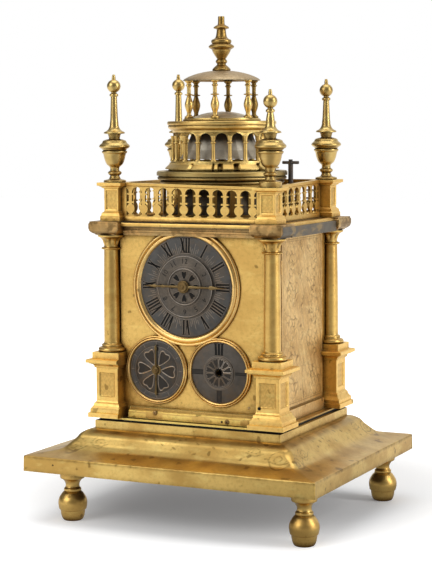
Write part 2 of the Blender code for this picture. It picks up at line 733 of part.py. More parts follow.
def realised(obj):
    """The mesh of an object with its modifiers applied. The object itself is removed."""
    bpy.context.view_layer.update()
    graph = bpy.context.evaluated_depsgraph_get()
    mesh = bpy.data.meshes.new_from_object(obj.evaluated_get(graph))
    mesh.transform(obj.matrix_world)
    bpy.data.objects.remove(obj, do_unlink=True)
    work = bmesh.new()
    work.from_mesh(mesh)
    bmesh.ops.remove_doubles(work, verts=work.verts, dist=MERGE)
    bmesh.ops.recalc_face_normals(work, faces=work.faces)
    work.to_mesh(mesh)
    work.free()
    return mesh


def flat_mesh(name, outlines, thickness, low=0.0):
    """A plate in the XY plane from an outline and its holes, standing on the level low."""
    curve = bpy.data.curves.new(name, "CURVE")
    curve.dimensions = "2D"
    curve.fill_mode = "BOTH"
    curve.extrude = thickness / 2
    for outline in outlines:
        spline = curve.splines.new("POLY")
        spline.points.add(len(outline) - 1)
        for point, place in zip(spline.points, outline):
            point.co = (place[0], place[1], 0.0, 1.0)
        spline.use_cyclic_u = True
    obj = bpy.data.objects.new(name, curve)
    CUTTERS.objects.link(obj)
    obj.location.z = low + thickness / 2
    return realised(obj)


def stood_up(mesh):
    """Turns a plate drawn in XY so that its drawing faces the front, with its first face at y = 0."""
    mesh.transform(Matrix.Rotation(math.pi / 2, 4, "X"))
    return mesh


def circle(radius, segments, centre=(0.0, 0.0), turn=0.0):
    """Points of a circle in a plane."""
    points = []
    for index in range(segments):
        angle = turn + math.tau * index / segments
        points.append((centre[0] + radius * math.cos(angle), centre[1] + radius * math.sin(angle)))
    return points


def rectangle(half_width, half_depth, centre=(0.0, 0.0)):
    x, y = centre
    return [
        (x - half_width, y - half_depth),
        (x + half_width, y - half_depth),
        (x + half_width, y + half_depth),
        (x - half_width, y + half_depth),
    ]


def stepped_mesh(name, half_width, half_depth, rows, capped=True):
    """A rectangular moulding: a ring of four corners at each row of height, X and Y projection."""
    work = bmesh.new()
    rings = []
    for z, out_x, out_y in rows:
        ring = [work.verts.new((x, y, z)) for x, y in rectangle(half_width + out_x, half_depth + out_y)]
        rings.append(ring)
    for lower, upper in zip(rings, rings[1:]):
        for index in range(4):
            after = (index + 1) % 4
            work.faces.new((lower[index], lower[after], upper[after], upper[index]))
    work.faces.new(rings[-1])
    if capped:
        work.faces.new(rings[0][::-1])
    mesh = bpy.data.meshes.new(name)
    work.to_mesh(mesh)
    work.free()
    return mesh


def boolean(obj, cutter, operation="DIFFERENCE"):
    step = obj.modifiers.new(cutter.name, "BOOLEAN")
    step.operation = operation
    step.object = cutter
    step.solver = "EXACT"


def joined(name, meshes):
    """One mesh from several that overlap, by Boolean unions."""
    base = bpy.data.objects.new(name, meshes[0])
    CUTTERS.objects.link(base)
    others = []
    for index, mesh in enumerate(meshes[1:]):
        other = add_object(f"{name}_join_{index}", mesh)
        boolean(base, other, "UNION")
        others.append(other)
    result = realised(base)
    for other in others:
        bpy.data.objects.remove(other, do_unlink=True)
    return result


def carved(name, mesh, cutters):
    """A mesh with other meshes cut out of it."""
    base = bpy.data.objects.new(name, mesh)
    CUTTERS.objects.link(base)
    others = []
    for index, cutter in enumerate(cutters):
        other = add_object(f"{name}_cut_{index}", cutter)
        boolean(base, other)
        others.append(other)
    result = realised(base)
    for other in others:
        bpy.data.objects.remove(other, do_unlink=True)
    return result


def merged(name, meshes):
    """Several separate closed shapes in one mesh, for use as one cutter."""
    work = bmesh.new()
    for mesh in meshes:
        work.from_mesh(mesh)
    return mesh_from(name, work)


def moved(mesh, offset=(0.0, 0.0, 0.0), turn=0.0, axis="Z"):
    """A copy of a mesh turned about an axis through the origin and then moved."""
    copy = mesh.copy()
    copy.transform(Matrix.Translation(Vector(offset)) @ Matrix.Rotation(turn, 4, axis))
    return copy


def smoothed(mesh):
    mesh.shade_smooth()
    mesh.set_sharp_from_angle(angle=SMOOTH_ANGLE)
    return mesh


def pivot(name, place):
    """An empty on a joint's axis that carries the moving pieces."""
    empty = bpy.data.objects.new(name, None)
    PARTS.objects.link(empty)
    empty.location = place
    return empty


def place_on(pivot_object, obj):
    """Hands an object that was built about its joint's axis to the empty on that axis."""
    obj.parent = pivot_object
    return obj


# Base
def foot_places():
    """Plan position of each foot. The front left one really stands further in."""
    x = SLAB_WIDTH / 2 - FOOT_INSET_SIDE
    y = SLAB_DEPTH / 2 - FOOT_INSET_FRONT
    places = {name: (side * x, end * y) for name, (side, end) in CORNERS.items()}
    places["front_left"] = (FRONT_LEFT_FOOT_SHIFT - x, -y)
    return places


def build_feet():
    points = profile_points(FOOT_SHARES, FOOT_HEIGHT, FOOT_RADIUS)
    mesh = smoothed(turned_mesh("foot", points, COLUMN_SEGMENTS))
    for name, (x, y) in foot_places().items():
        foot = add_object(f"foot_{name}", mesh.copy(), GILT)
        foot.location = (x, y, 0.0)


def build_base_board():
    """A board that fills the rim, with a lower step that shows below it."""
    fit = BASE_SHEET + GAP
    step_top = BOARD_BOTTOM + BOARD_STEP
    top = BOARD_BOTTOM + BOARD_THICKNESS
    rows = (
        (BOARD_BOTTOM, -BOARD_INSET, -BOARD_INSET),
        (step_top, -BOARD_INSET, -BOARD_INSET),
        (step_top, -fit, -fit),
        (top, -fit, -fit),
    )
    mesh = stepped_mesh("base_board", SLAB_WIDTH / 2, SLAB_DEPTH / 2, rows)
    add_object("base_board", mesh, WOOD)


def build_base_moulding():
    """A hollow sheet shell: rim band, ogee and plinth, mitred at the corners and open below."""
    out_x = (SLAB_WIDTH - PLINTH_WIDTH) / 2
    out_y = (SLAB_DEPTH - PLINTH_DEPTH) / 2
    rows = [(RIM_BOTTOM, out_x, out_y)]
    for height_share, out_share in OGEE_SHARES:
        rows.append((RIM_TOP + height_share * OGEE_HEIGHT, out_share * out_x, out_share * out_y))
    rows.append((PLINTH_TOP, 0.0, 0.0))
    mesh = stepped_mesh("base_moulding", PLINTH_WIDTH / 2, PLINTH_DEPTH / 2, rows, capped=False)
    shell = add_object("base_moulding", mesh, GILT)
    sheet = shell.modifiers.new("sheet", "SOLIDIFY")
    sheet.thickness = BASE_SHEET
    sheet.offset = -1.0
    sheet.use_even_offset = True


# Case corners: pedestals and columns, each cut back around the case
def case_outline(clearance=0.0):
    """Plan of the case, with its front and back narrower than its sides so that the columns stand free."""
    side = CASE_WIDTH / 2 + clearance
    end = CASE_DEPTH / 2 + clearance
    face = FRONT_WIDTH / 2 + clearance
    back = CASE_DEPTH / 2 - CORNER_SETBACK + clearance
    return [
        (-face, -end),
        (face, -end),
        (face, -back),
        (side, -back),
        (side, back),
        (face, back),
        (face, end),
        (-face, end),
        (-face, back),
        (-side, back),
        (-side, -back),
        (-face, -back),
    ]


def build_case_cutter():
    height = ENTABLATURE_BOTTOM - FLOOR_TOP + 2 * OVERRUN
    mesh = flat_mesh("case_cutter", [case_outline(GAP)], height, FLOOR_TOP - OVERRUN)
    return add_object("case_cutter", mesh)


def panelled(name, mesh, half_width, recess_width, recess_height, recess_bottom):
    """Cuts a shallow panel into the front and the right side of a square block."""
    inner = half_width - RECESS_DEPTH
    low, high = recess_bottom, recess_bottom + recess_height
    half = recess_width / 2
    outer = half_width + OVERRUN
    front = box_mesh(f"{name}_front", (-half, -outer, low), (half, -inner, high))
    side = box_mesh(f"{name}_side", (inner, -half, low), (outer, half, high))
    return carved(name, mesh, [front, side])


def corner_turn(name):
    """Turn about Z that brings a piece made for the front right corner to the named one."""
    return {
        "front_right": 0.0,
        "back_right": math.pi / 2,
        "back_left": math.pi,
        "front_left": -math.pi / 2,
    }[name]


def block_rows(shares, height, projection):
    return [(share * height, out * projection, out * projection) for share, out in shares]


def build_pedestals(case_cutter):
    half = PEDESTAL_WIDTH / 2
    rows = block_rows(PEDESTAL_SHARES, PEDESTAL_HEIGHT, PEDESTAL_PROJECTION)
    block = stepped_mesh("pedestal", half, half, rows)
    low = PEDESTAL_RECESS_SHARE * PEDESTAL_HEIGHT - PEDESTAL_RECESS_HEIGHT / 2
    mesh = panelled("pedestal", block, half, PEDESTAL_RECESS_WIDTH, PEDESTAL_RECESS_HEIGHT, low)
    for name, (side, end) in CORNERS.items():
        pedestal = add_object(f"pedestal_{name}", mesh.copy(), GILT)
        pedestal.location = (side * COLUMN_X, end * COLUMN_Y, PEDESTAL_BOTTOM)
        pedestal.rotation_euler.z = corner_turn(name)
        boolean(pedestal, case_cutter)
    for name, x, side in (("left", LEFT_DIAL_X, -1), ("right", RIGHT_DIAL_X, 1)):
        boolean(bpy.data.objects[f"pedestal_front_{name}"], build_pedestal_trim(name, x, side))


def build_pedestal_trim(name, x, side):
    """A front pedestal is cut back straight where its small dial's bezel comes close to it, as on the left."""
    near, far = sorted((x, x + side * (SMALL_BEZEL_RADIUS + GAP)))
    low = (near, FRONT_Y - PEDESTAL_WIDTH * 2, PEDESTAL_BOTTOM - OVERRUN)
    high = (far, FRONT_Y + PEDESTAL_WIDTH * 2, COLUMN_BOTTOM + OVERRUN)
    return add_object(f"pedestal_trim_{name}", box_mesh("trim", low, high))


def build_columns(case_cutter):
    points = profile_points(COLUMN_SHARES, COLUMN_HEIGHT, COLUMN_RADIUS)
    mesh = smoothed(turned_mesh("column", points, COLUMN_SEGMENTS))
    for name, (side, end) in CORNERS.items():
        column = add_object(f"column_{name}", mesh.copy(), GILT)
        column.location = (side * COLUMN_X, end * COLUMN_Y, COLUMN_BOTTOM)
        boolean(column, case_cutter)


# Case walls
def wall_outline(face_y, return_length):
    """Plan of a front or back plate, folded round the column corner and back along the side."""
    sign = 1 if face_y > 0 else -1
    outer, inner = abs(face_y), abs(face_y) - CASE_SHEET
    face, face_in = FRONT_WIDTH / 2, FRONT_WIDTH / 2 - CASE_SHEET
    side, side_in = CASE_WIDTH / 2, CASE_WIDTH / 2 - CASE_SHEET
    back, back_in = outer - CORNER_SETBACK, outer - CORNER_SETBACK - CASE_SHEET
    end = outer - return_length
    half = [
        (face, outer),
        (face, back),
        (side, back),
        (side, end),
        (side_in, end),
        (side_in, back_in),
        (face_in, back_in),
        (face_in, inner),
    ]
    points = half + [(-x, y) for x, y in reversed(half)]
    return [(x, sign * y) for x, y in points]


def front_holes():
    """Through holes of the front plate: centre and radius."""
    return (
        (DIAL_X, DIAL_Z, HOUR_ARBOR_RADIUS + GAP),
        (LEFT_DIAL_X, LEFT_DIAL_Z, LEFT_ARBOR_RADIUS + GAP),
        (RIGHT_DIAL_X, RIGHT_DIAL_Z, RIGHT_HUB_HOLE),
    )


def build_walls():
    height = WALL_TOP - WALL_BOTTOM
    front_return = CASE_DEPTH / 2 - HINGE_Y - HINGE_RADIUS - GAP
    plate = flat_mesh("front_wall", [wall_outline(FRONT_Y, front_return)], height, WALL_BOTTOM)
    half = COLUMN_X - PEDESTAL_WIDTH / 2 - PEDESTAL_PROJECTION - GAP
    skirt = skirt_mesh(half)
    plate = joined("front_plate", [plate, skirt])
    cutters = []
    for x, z, radius in front_holes():
        start = (x, FRONT_Y - OVERRUN, z)
        end = (x, FRONT_Y + CASE_SHEET + OVERRUN, z)
        cutters.append(rod_mesh("hole", start, end, radius))
    plate = carved("front_plate", plate, [merged("front_holes", cutters)])
    add_object("front_plate", plate, GILT)
    back = flat_mesh("back_wall", [wall_outline(-FRONT_Y, BACK_RETURN)], height, WALL_BOTTOM)
    back_skirt = moved(skirt, turn=math.pi)
    add_object("back_plate", joined("back_plate", [back, back_skirt]), GILT)


def skirt_mesh(half_length):
    """The base moulding strip between the front pedestals, in section a fascia and a slope."""
    low = WALL_BOTTOM + GAP
    high = WALL_BOTTOM + SKIRT_HEIGHT
    out = FRONT_Y - SKIRT_PROJECTION
    work = bmesh.new()
    section = (
        (FRONT_Y + CASE_SHEET / 2, low),
        (out, low),
        (out, low + SKIRT_HEIGHT / 2),
        (FRONT_Y - SKIRT_PROJECTION / 3, high),
        (FRONT_Y + CASE_SHEET / 2, high),
    )
    left = [work.verts.new((-half_length, y, z)) for y, z in section]
    right = [work.verts.new((half_length, y, z)) for y, z in section]
    work.faces.new(left)
    work.faces.new(right[::-1])
    for index in range(len(section)):
        after = (index + 1) % len(section)
        work.faces.new((left[index], right[index], right[after], left[after]))
    return mesh_from("skirt", work)


def hinge_levels():
    height = ENTABLATURE_BOTTOM - GAP - WALL_BOTTOM
    return [WALL_BOTTOM + share * height for share in KNUCKLE_SHARES]


def build_doors():
    """Side doors, hinged on pins next to the front columns and free at the back."""
    axis_x = CASE_WIDTH / 2 + HINGE_OFFSET
    top = ENTABLATURE_BOTTOM - GAP
    front = -HINGE_Y - HINGE_RADIUS
    free = CASE_DEPTH / 2 - BACK_RETURN - GAP
    for name, side in (("right", 1), ("left", -1)):
        low = (-HINGE_OFFSET - DOOR_SHEET, front + HINGE_Y, WALL_BOTTOM)
        high = (-HINGE_OFFSET, free + HINGE_Y, top)
        leaf = box_mesh("leaf", low, high)
        strip_low = (-HINGE_OFFSET - DOOR_SHEET / 2, DOOR_SKIRT_START, WALL_BOTTOM)
        strip_out = DOOR_SKIRT_PROJECTION - HINGE_OFFSET
        strip_end = COLUMN_Y - PEDESTAL_WIDTH / 2 - PEDESTAL_PROJECTION - GAP
        strip_high = (strip_out, strip_end + HINGE_Y, WALL_BOTTOM + SKIRT_HEIGHT)
        strip = box_mesh("strip", strip_low, strip_high)
        pieces = [leaf, strip]
        for level in hinge_levels():
            low_end = (0.0, 0.0, level - KNUCKLE_HEIGHT / 2)
            high_end = (0.0, 0.0, level + KNUCKLE_HEIGHT / 2)
            pieces.append(rod_mesh("knuckle", low_end, high_end, HINGE_RADIUS))
        mesh = joined(f"door_{name}", pieces)
        if side < 0:
            mesh.transform(Matrix.Scale(-1, 4, Vector((1, 0, 0))))
            mesh.flip_normals()
        door = add_object(f"door_{name}", mesh, WORN_GILT)
        hinge = pivot(f"door_{name}_hinge", (side * axis_x, -HINGE_Y, 0.0))
        place_on(hinge, door)


# Entablature and roof plate
def build_entablature():
    """A frame round the top of the case with a block over each column."""
    half_x, half_y = ENTABLATURE_WIDTH / 2, ENTABLATURE_DEPTH / 2
    frieze = FRIEZE_DEPTH / 2
    block = half_x - CORNER_BLOCK_WIDTH
    outer = [
        (-half_x, -half_y),
        (-block, -half_y),
        (-block, -frieze),
        (block, -frieze),
        (block, -half_y),
        (half_x, -half_y),
        (half_x, half_y),
        (block, half_y),
        (block, frieze),
        (-block, frieze),
        (-block, half_y),
        (-half_x, half_y),
    ]
    inner = rectangle(CASE_WIDTH / 2 + GAP, frieze - FRIEZE_SHEET)
    frame = flat_mesh("entablature", [outer, inner], ENTABLATURE_HEIGHT, ENTABLATURE_BOTTOM)
    cut_low = ROOF_BOTTOM - GAP
    cut_high = ENTABLATURE_TOP + OVERRUN
    cutter = box_mesh("roof_seat", (-block, -half_y, cut_low), (block, half_y, cut_high))
    add_object("entablature", carved("entablature", frame, [cutter]), WORN_GILT)


def bell_levels():
    """Mouth levels of the two bells."""
    return ATTIC_BOTTOM + HOUR_BELL_LIFT, UPPER_WALL_BOTTOM + ALARM_BELL_LIFT


def build_roof():
    """The roof plate with the rod that carries both bells."""
    side = CASE_WIDTH / 2
    inner = FRIEZE_DEPTH / 2 - FRIEZE_SHEET - GAP
    edge = ROOF_EDGE_DEPTH / 2
    block = ENTABLATURE_WIDTH / 2 - CORNER_BLOCK_WIDTH - GAP
    top = ENTABLATURE_TOP
    wide = box_mesh("wide", (-side, -inner, ROOF_BOTTOM), (side, inner, top))
    deep = box_mesh("deep", (-block, -edge, ROOF_BOTTOM), (block, edge, top))
    holes = [(HAMMER_X, HAMMER_Y, HAMMER_ARBOR_RADIUS + GAP), (BOLT_X, BOLT_Y, BOLT_RADIUS + GAP)]
    cutters = []
    for x, y, radius in holes:
        ends = (x, y, ROOF_BOTTOM - OVERRUN), (x, y, top + OVERRUN)
        cutters.append(rod_mesh("hole", *ends, radius))
    plate = carved("roof_plate", joined("roof_plate", [wide, deep]), [merged("holes", cutters)])
    hour_mouth, alarm_mouth = bell_levels()
    hour_seat = hour_mouth + HOUR_BELL_HEIGHT - BELL_WALL - GAP
    alarm_seat = alarm_mouth + ALARM_BELL_HEIGHT - BELL_WALL - GAP
    tip = alarm_mouth + ALARM_BELL_HEIGHT + ROD_TIP_RISE
    points = [
        (ROD_TIP_RADIUS, tip),
        (ROD_TIP_RADIUS, alarm_seat),
        (ROD_RADIUS, alarm_seat),
        (ROD_RADIUS, hour_seat),
        (ROD_SHOULDER_RADIUS, hour_seat),
        (ROD_SHOULDER_RADIUS, ENTABLATURE_TOP - ROOF_THICKNESS / 2),
    ]
    rod = turned_mesh("bell_rod", points, SMALL_SEGMENTS)
    add_object("roof_plate", joined("roof_plate", [plate, rod]), WORN_GILT)


# Attic
def post_rows():
    return block_rows(POST_SHARES, POST_HEIGHT, POST_PROJECTION)


def grown_post_rows():
    """The post's rows made wider by the gap and longer at both ends, for a cutter."""
    rows = [(z, x + GAP, y + GAP) for z, x, y in post_rows()]
    foot, head = rows[0], rows[-1]
    return [(foot[0] - OVERRUN, *foot[1:])] + rows[1:-1] + [(head[0] + OVERRUN, *head[1:])]


def build_posts():
    half = POST_WIDTH / 2
    block = stepped_mesh("post", half, half, post_rows())
    low = POST_RECESS_SHARE * POST_HEIGHT - POST_RECESS_HEIGHT / 2
    mesh = panelled("post", block, half, POST_RECESS_WIDTH, POST_RECESS_HEIGHT, low)
    for name, (side, end) in CORNERS.items():
        post = add_object(f"attic_post_{name}", mesh.copy(), GILT)
        post.location = (side * POST_X, end * POST_Y, ATTIC_BOTTOM)
        post.rotation_euler.z = corner_turn(name)


def post_cutters():
    """The posts made larger by the gap, for the balustrades' ends."""
    half = POST_WIDTH / 2
    mesh = stepped_mesh("post_cutter", half, half, grown_post_rows())
    made = {}
    for name, (side, end) in CORNERS.items():
        cutter = add_object(f"post_cutter_{name}", mesh)
        cutter.location = (side * POST_X, end * POST_Y, ATTIC_BOTTOM)
        made[name] = cutter
    return made


def baluster_gap(centre, pitch):
    """Outline of one opening between two flat balusters: arched above, waisted at the bulbs."""
    low = RAIL_BOTTOM_HEIGHT * RAIL_LAP_SHARE
    high = POST_HEIGHT - RAIL_TOP_HEIGHT * RAIL_LAP_SHARE
    span = high - low
    bulb_z = low + BALUSTER_BULB_SHARE * span
    arch_z = low + BALUSTER_ARCH_SHARE * span
    wide = (pitch - BALUSTER_NECK) / 2
    tight = pitch / 2 - BALUSTER_BULB_RADIUS
    foot = (pitch - BALUSTER_FOOT) / 2
    slim = wide - BALUSTER_NECK / 4
    half = [
        (foot, low),
        (tight, bulb_z),
        (slim, bulb_z + BALUSTER_BULB_RADIUS),
        (wide, arch_z),
    ]
    right = [(centre + x, z) for x, z in half]
    left = [(centre - x, z) for x, z in reversed(half)]
    return right + [(centre, high)] + left


def balustrade_mesh(name, length, count):
    """A pierced plate with a rail along its top and its bottom, centred on the X axis."""
    openings = []
    pitch = (length - POST_WIDTH - 2 * RAIL_END) / (count - 1)
    first = -(count - 2) / 2 * pitch
    for index in range(count - 1):
        openings.append(baluster_gap(first + index * pitch, pitch))
    outer = [(-length / 2, 0.0), (length / 2, 0.0), (length / 2, POST_HEIGHT), (-length / 2, POST_HEIGHT)]
    plate = stood_up(flat_mesh(name, [outer] + openings, RAIL_PLATE, -RAIL_PLATE))
    front = -RAIL_DEPTH / 2
    low = box_mesh("rail_low", (-length / 2, front, 0.0), (length / 2, -front, RAIL_BOTTOM_HEIGHT))
    top_z = POST_HEIGHT - RAIL_TOP_HEIGHT
    high = box_mesh("rail_high", (-length / 2, front, top_z), (length / 2, -front, POST_HEIGHT))
    plate.transform(Matrix.Translation((0.0, -RAIL_PLATE / 2, 0.0)))
    return joined(name, [plate, low, high])


def build_balustrades():
    cutters = post_cutters()
    front_mesh = balustrade_mesh("balustrade_long", 2 * POST_X, FRONT_BALUSTERS)
    side_mesh = balustrade_mesh("balustrade_short", 2 * POST_Y, SIDE_BALUSTERS)
    inner = RAIL_PLATE / 2
    places = (
        ("front", front_mesh, (0.0, inner - FRONT_RAIL_Y, ATTIC_BOTTOM), 0.0),
        ("back", front_mesh, (0.0, FRONT_RAIL_Y - inner, ATTIC_BOTTOM), math.pi),
        ("right", side_mesh, (SIDE_RAIL_X - inner, 0.0, ATTIC_BOTTOM), math.pi / 2),
        ("left", side_mesh, (inner - SIDE_RAIL_X, 0.0, ATTIC_BOTTOM), -math.pi / 2),
    )
    for name, mesh, place, turn in places:
        rail = add_object(f"balustrade_{name}", mesh.copy(), GILT)
        rail.location = place
        rail.rotation_euler.z = turn
        for corner in CORNERS:
            if name in corner.split("_"):
                boolean(rail, cutters[corner])


def finial_points(spindle):
    """A corner finial: urn, tapered spindle of its own length, collar and ball with a tip."""
    body = profile_points(FINIAL_SHARES, FINIAL_BODY_HEIGHT, FINIAL_RADIUS)
    collar_low = FINIAL_BODY_HEIGHT + spindle
    collar_high = collar_low + SPINDLE_COLLAR_HEIGHT
    neck = SPINDLE_TOP_RADIUS
    ball_centre = collar_high + math.sqrt(BALL_RADIUS**2 - neck**2)
    ball = ball_points(BALL_RADIUS, ball_centre, TIP_RADIUS, neck)
    tip_top = ball[0][1] + TIP_HEIGHT
    collar_middle = (collar_low + collar_high) / 2
    head = [(TIP_RADIUS / 2, tip_top), (TIP_RADIUS, (tip_top + ball[0][1]) / 2)] + ball
    collar = [(SPINDLE_COLLAR_RADIUS, collar_middle), (neck, collar_low)]
    return head + collar + body


def build_finials():
    for name, (side, end) in CORNERS.items():
        points = finial_points(SPINDLES[name])
        mesh = smoothed(turned_mesh(f"finial_{name}", points, SMALL_SEGMENTS))
        finial = add_object(f"finial_{name}", mesh, GILT)
        finial.location = (side * POST_X, end * POST_Y, FINIAL_BOTTOM)


# Tower
def arch_cutter(name, count, width, low, height, inner, outer, turn):
    """Radial arched openings, one cutter of separate prisms."""
    half = width / 2
    spring = height - half
    outline = [(-half, 0.0), (half, 0.0), (half, spring)]
    for index in range(1, ARCH_FACETS):
        angle = math.pi * index / ARCH_FACETS
        outline.append((half * math.cos(angle), spring + half * math.sin(angle)))
    outline.append((-half, spring))
    prism = stood_up(flat_mesh("arch", [outline], outer - inner, inner))
    pieces = []
    for index in range(count):
        angle = turn + math.tau * index / count
        pieces.append(moved(prism, (0.0, 0.0, low), angle))
    return merged(name, pieces)


def build_lower_drum():
    """The lower arcade with its cornice, whose flat top carries the upper drum."""
    outer, sheet = LOWER_DRUM_RADIUS, LOWER_DRUM_SHEET
    inner = outer - sheet
    top = LOWER_CORNICE_HEIGHT + LOWER_WALL_HEIGHT
    wall = LOWER_WALL_HEIGHT
    cornice = LOWER_CORNICE_RADIUS
    points = [
        (cornice, top),
        (cornice - sheet / 2, wall + LOWER_CORNICE_HEIGHT / 2),
        (outer, wall),
        (outer, LOWER_ARCH_SILL / 2),
        (outer + sheet, LOWER_ARCH_SILL / 4),
        (outer + sheet, 0.0),
        (inner, 0.0),
        (inner, top),
    ]
    mesh = turned_mesh("lower_drum", points, LOWER_ARCHES, closed=True)
    reach = (inner - OVERRUN, cornice)
    turn = math.pi / LOWER_ARCHES
    cutter = arch_cutter(
        "lower_arches", LOWER_ARCHES, LOWER_ARCH_WIDTH, LOWER_ARCH_SILL, LOWER_ARCH_HEIGHT, *reach, turn
    )
    drum = add_object("lower_drum", smoothed(carved("lower_drum", mesh, [cutter])), GILT)
    drum.location.z = ATTIC_BOTTOM


def build_upper_drum():
    """The upper arcade on its own stepped base, with a flange that rests on the lower drum."""
    outer, sheet = UPPER_DRUM_RADIUS, UPPER_DRUM_SHEET
    inner = outer - sheet
    foot = UPPER_BASE_RADIUS
    base = UPPER_BASE_HEIGHT
    points = [
        (outer, base + UPPER_WALL_HEIGHT),
        (outer, base),
        ((outer + foot) / 2, base * 0.55),
        (foot, base * 0.30),
        (foot, base * UPPER_FLANGE_SHARE),
        (LOWER_DRUM_RADIUS, base * UPPER_FLANGE_SHARE),
        (LOWER_DRUM_RADIUS, 0.0),
        (inner, 0.0),
        (inner, base + UPPER_WALL_HEIGHT),
    ]
    mesh = turned_mesh("upper_drum", points, UPPER_ARCHES, closed=True)
    reach = (inner - OVERRUN, outer + OVERRUN)
    low = base + UPPER_ARCH_SILL
    turn = math.pi / UPPER_ARCHES
    cutter = arch_cutter(
        "upper_arches", UPPER_ARCHES, UPPER_ARCH_WIDTH, low, UPPER_ARCH_HEIGHT, *reach, turn
    )
    drum = add_object("upper_drum", smoothed(carved("upper_drum", mesh, [cutter])), GILT)
    drum.location.z = UPPER_DRUM_BOTTOM


def cap_points(radius, rise, rim, bottom, steps=3):
    """A shallow dome from its middle to its rim, and down the rim."""
    sphere = (radius * radius + rise * rise) / (2 * rise)
    widest = math.asin(radius / sphere)
    points = []
    for index in range(steps + 1):
        angle = widest * index / steps
        height = sphere * math.cos(angle) - (sphere - rise)
        points.append((sphere * math.sin(angle), bottom + rim + height))
    points.append((radius, bottom))
    return points[1:], points[0]


def build_drum_dome():
    """The upper cornice and the shallow dome on it, one hollow piece that the lantern stands on."""
    dome, apex = cap_points(DOME_RADIUS, DOME_RISE, DOME_RIM_HEIGHT, CORNICE_HEIGHT)
    hollow = [(r - DOME_SHEET, z - DOME_SHEET) for r, z in dome[:-1]]
    inner = UPPER_DRUM_RADIUS - UPPER_DRUM_SHEET
    under = [(r, z) for r, z in hollow if r > ROD_SHOULDER_RADIUS]
    step = CORNICE_HEIGHT
    points = [
        (0.0, apex[1]),
        *dome,
        (CORNICE_RADIUS - DOME_SHEET / 2, step),
        (CORNICE_RADIUS, step * 0.75),
        (CORNICE_RADIUS - DOME_SHEET / 2, step * 0.45),
        (UPPER_DRUM_RADIUS + DOME_SHEET / 2, 0.0),
        (inner - DOME_SHEET, 0.0),
        (inner - DOME_SHEET, step - DOME_SHEET),
        (under[-1][0], step - DOME_SHEET),
        *reversed(under),
        (0.0, apex[1] - DOME_SHEET),
    ]
    mesh = smoothed(turned_mesh("drum_dome", points[1:-1], DISC_SEGMENTS))
    dome_object = add_object("drum_dome", mesh, GILT)
    dome_object.location.z = CORNICE_BOTTOM


def build_lantern():
    """Six turned balusters under the cupola roof, cut to the dome that they stand on."""
    height = LANTERN_HEIGHT + CUPOLA_RIM_HEIGHT / 2
    points = profile_points(LANTERN_COLUMN_SHARES, height, LANTERN_COLUMN_RADIUS)
    column = turned_mesh("lantern_column", points, TINY_SEGMENTS)
    roof_points, apex = cap_points(CUPOLA_RADIUS, CUPOLA_RISE, CUPOLA_RIM_HEIGHT, LANTERN_HEIGHT)
    roof = turned_mesh("cupola_roof", [(0.0, apex[1])] + roof_points, DISC_SEGMENTS)
    pieces = [roof]
    for index in range(LANTERN_COLUMNS):
        angle = LANTERN_TURN + math.tau * index / LANTERN_COLUMNS
        place = (LANTERN_RADIUS * math.cos(angle), LANTERN_RADIUS * math.sin(angle), 0.0)
        pieces.append(moved(column, place))
    mesh = joined("lantern", pieces)
    dome, apex = cap_points(DOME_RADIUS + GAP, DOME_RISE, DOME_RIM_HEIGHT, -DOME_RIM_HEIGHT)
    raised = [(r, z + GAP) for r, z in dome]
    cutter = turned_mesh("dome_cutter", [(0.0, apex[1] + GAP)] + raised, DISC_SEGMENTS)
    mesh = smoothed(carved("lantern", mesh, [cutter]))
    lantern = add_object("lantern", mesh, GILT)
    lantern.location.z = LANTERN_BOTTOM


def build_top_finial():
    points = profile_points(TOP_FINIAL_SHARES, TOP_FINIAL_HEIGHT, TOP_FINIAL_RADIUS)
    mesh = turned_mesh("top_finial", points, COLUMN_SEGMENTS)
    roof_points, apex = cap_points(CUPOLA_RADIUS, CUPOLA_RISE, 0.0, -CUPOLA_RISE)
    raised = [(r, z + GAP) for r, z in roof_points]
    cutter = turned_mesh("cupola_cutter", [(0.0, apex[1] + GAP)] + raised, DISC_SEGMENTS)
    mesh = smoothed(carved("top_finial", mesh, [cutter]))
    finial = add_object("top_finial", mesh, GILT)
    finial.location.z = TOP_FINIAL_BOTTOM


# Bells
def bell_mesh(name, radius, height, hole):
    """A bell of even wall with a hole in its crown for the rod."""
    outer = profile_points(BELL_SHARES, height, radius)
    wall = BELL_WALL
    inner = []
    for r, z in reversed(outer):
        if z > 0.0:
            inner.append((r - wall, z - wall))
    points = outer + [(radius - wall * 1.6, 0.0)] + inner + [(hole, height - wall), (hole, height)]
    return smoothed(turned_mesh(name, points, BELL_SEGMENTS, closed=True))


def build_bells():
    hour_mouth, alarm_mouth = bell_levels()
    hour = bell_mesh("hour_bell", HOUR_BELL_RADIUS, HOUR_BELL_HEIGHT, ROD_RADIUS + GAP)
    bell = add_object("hour_bell", hour, BELL_GREY)
    bell.location.z = hour_mouth
    alarm = bell_mesh("alarm_bell", ALARM_BELL_RADIUS, ALARM_BELL_HEIGHT, ROD_TIP_RADIUS + GAP)
    bell = add_object("alarm_bell", alarm, BELL_GREY)
    bell.location.z = alarm_mouth


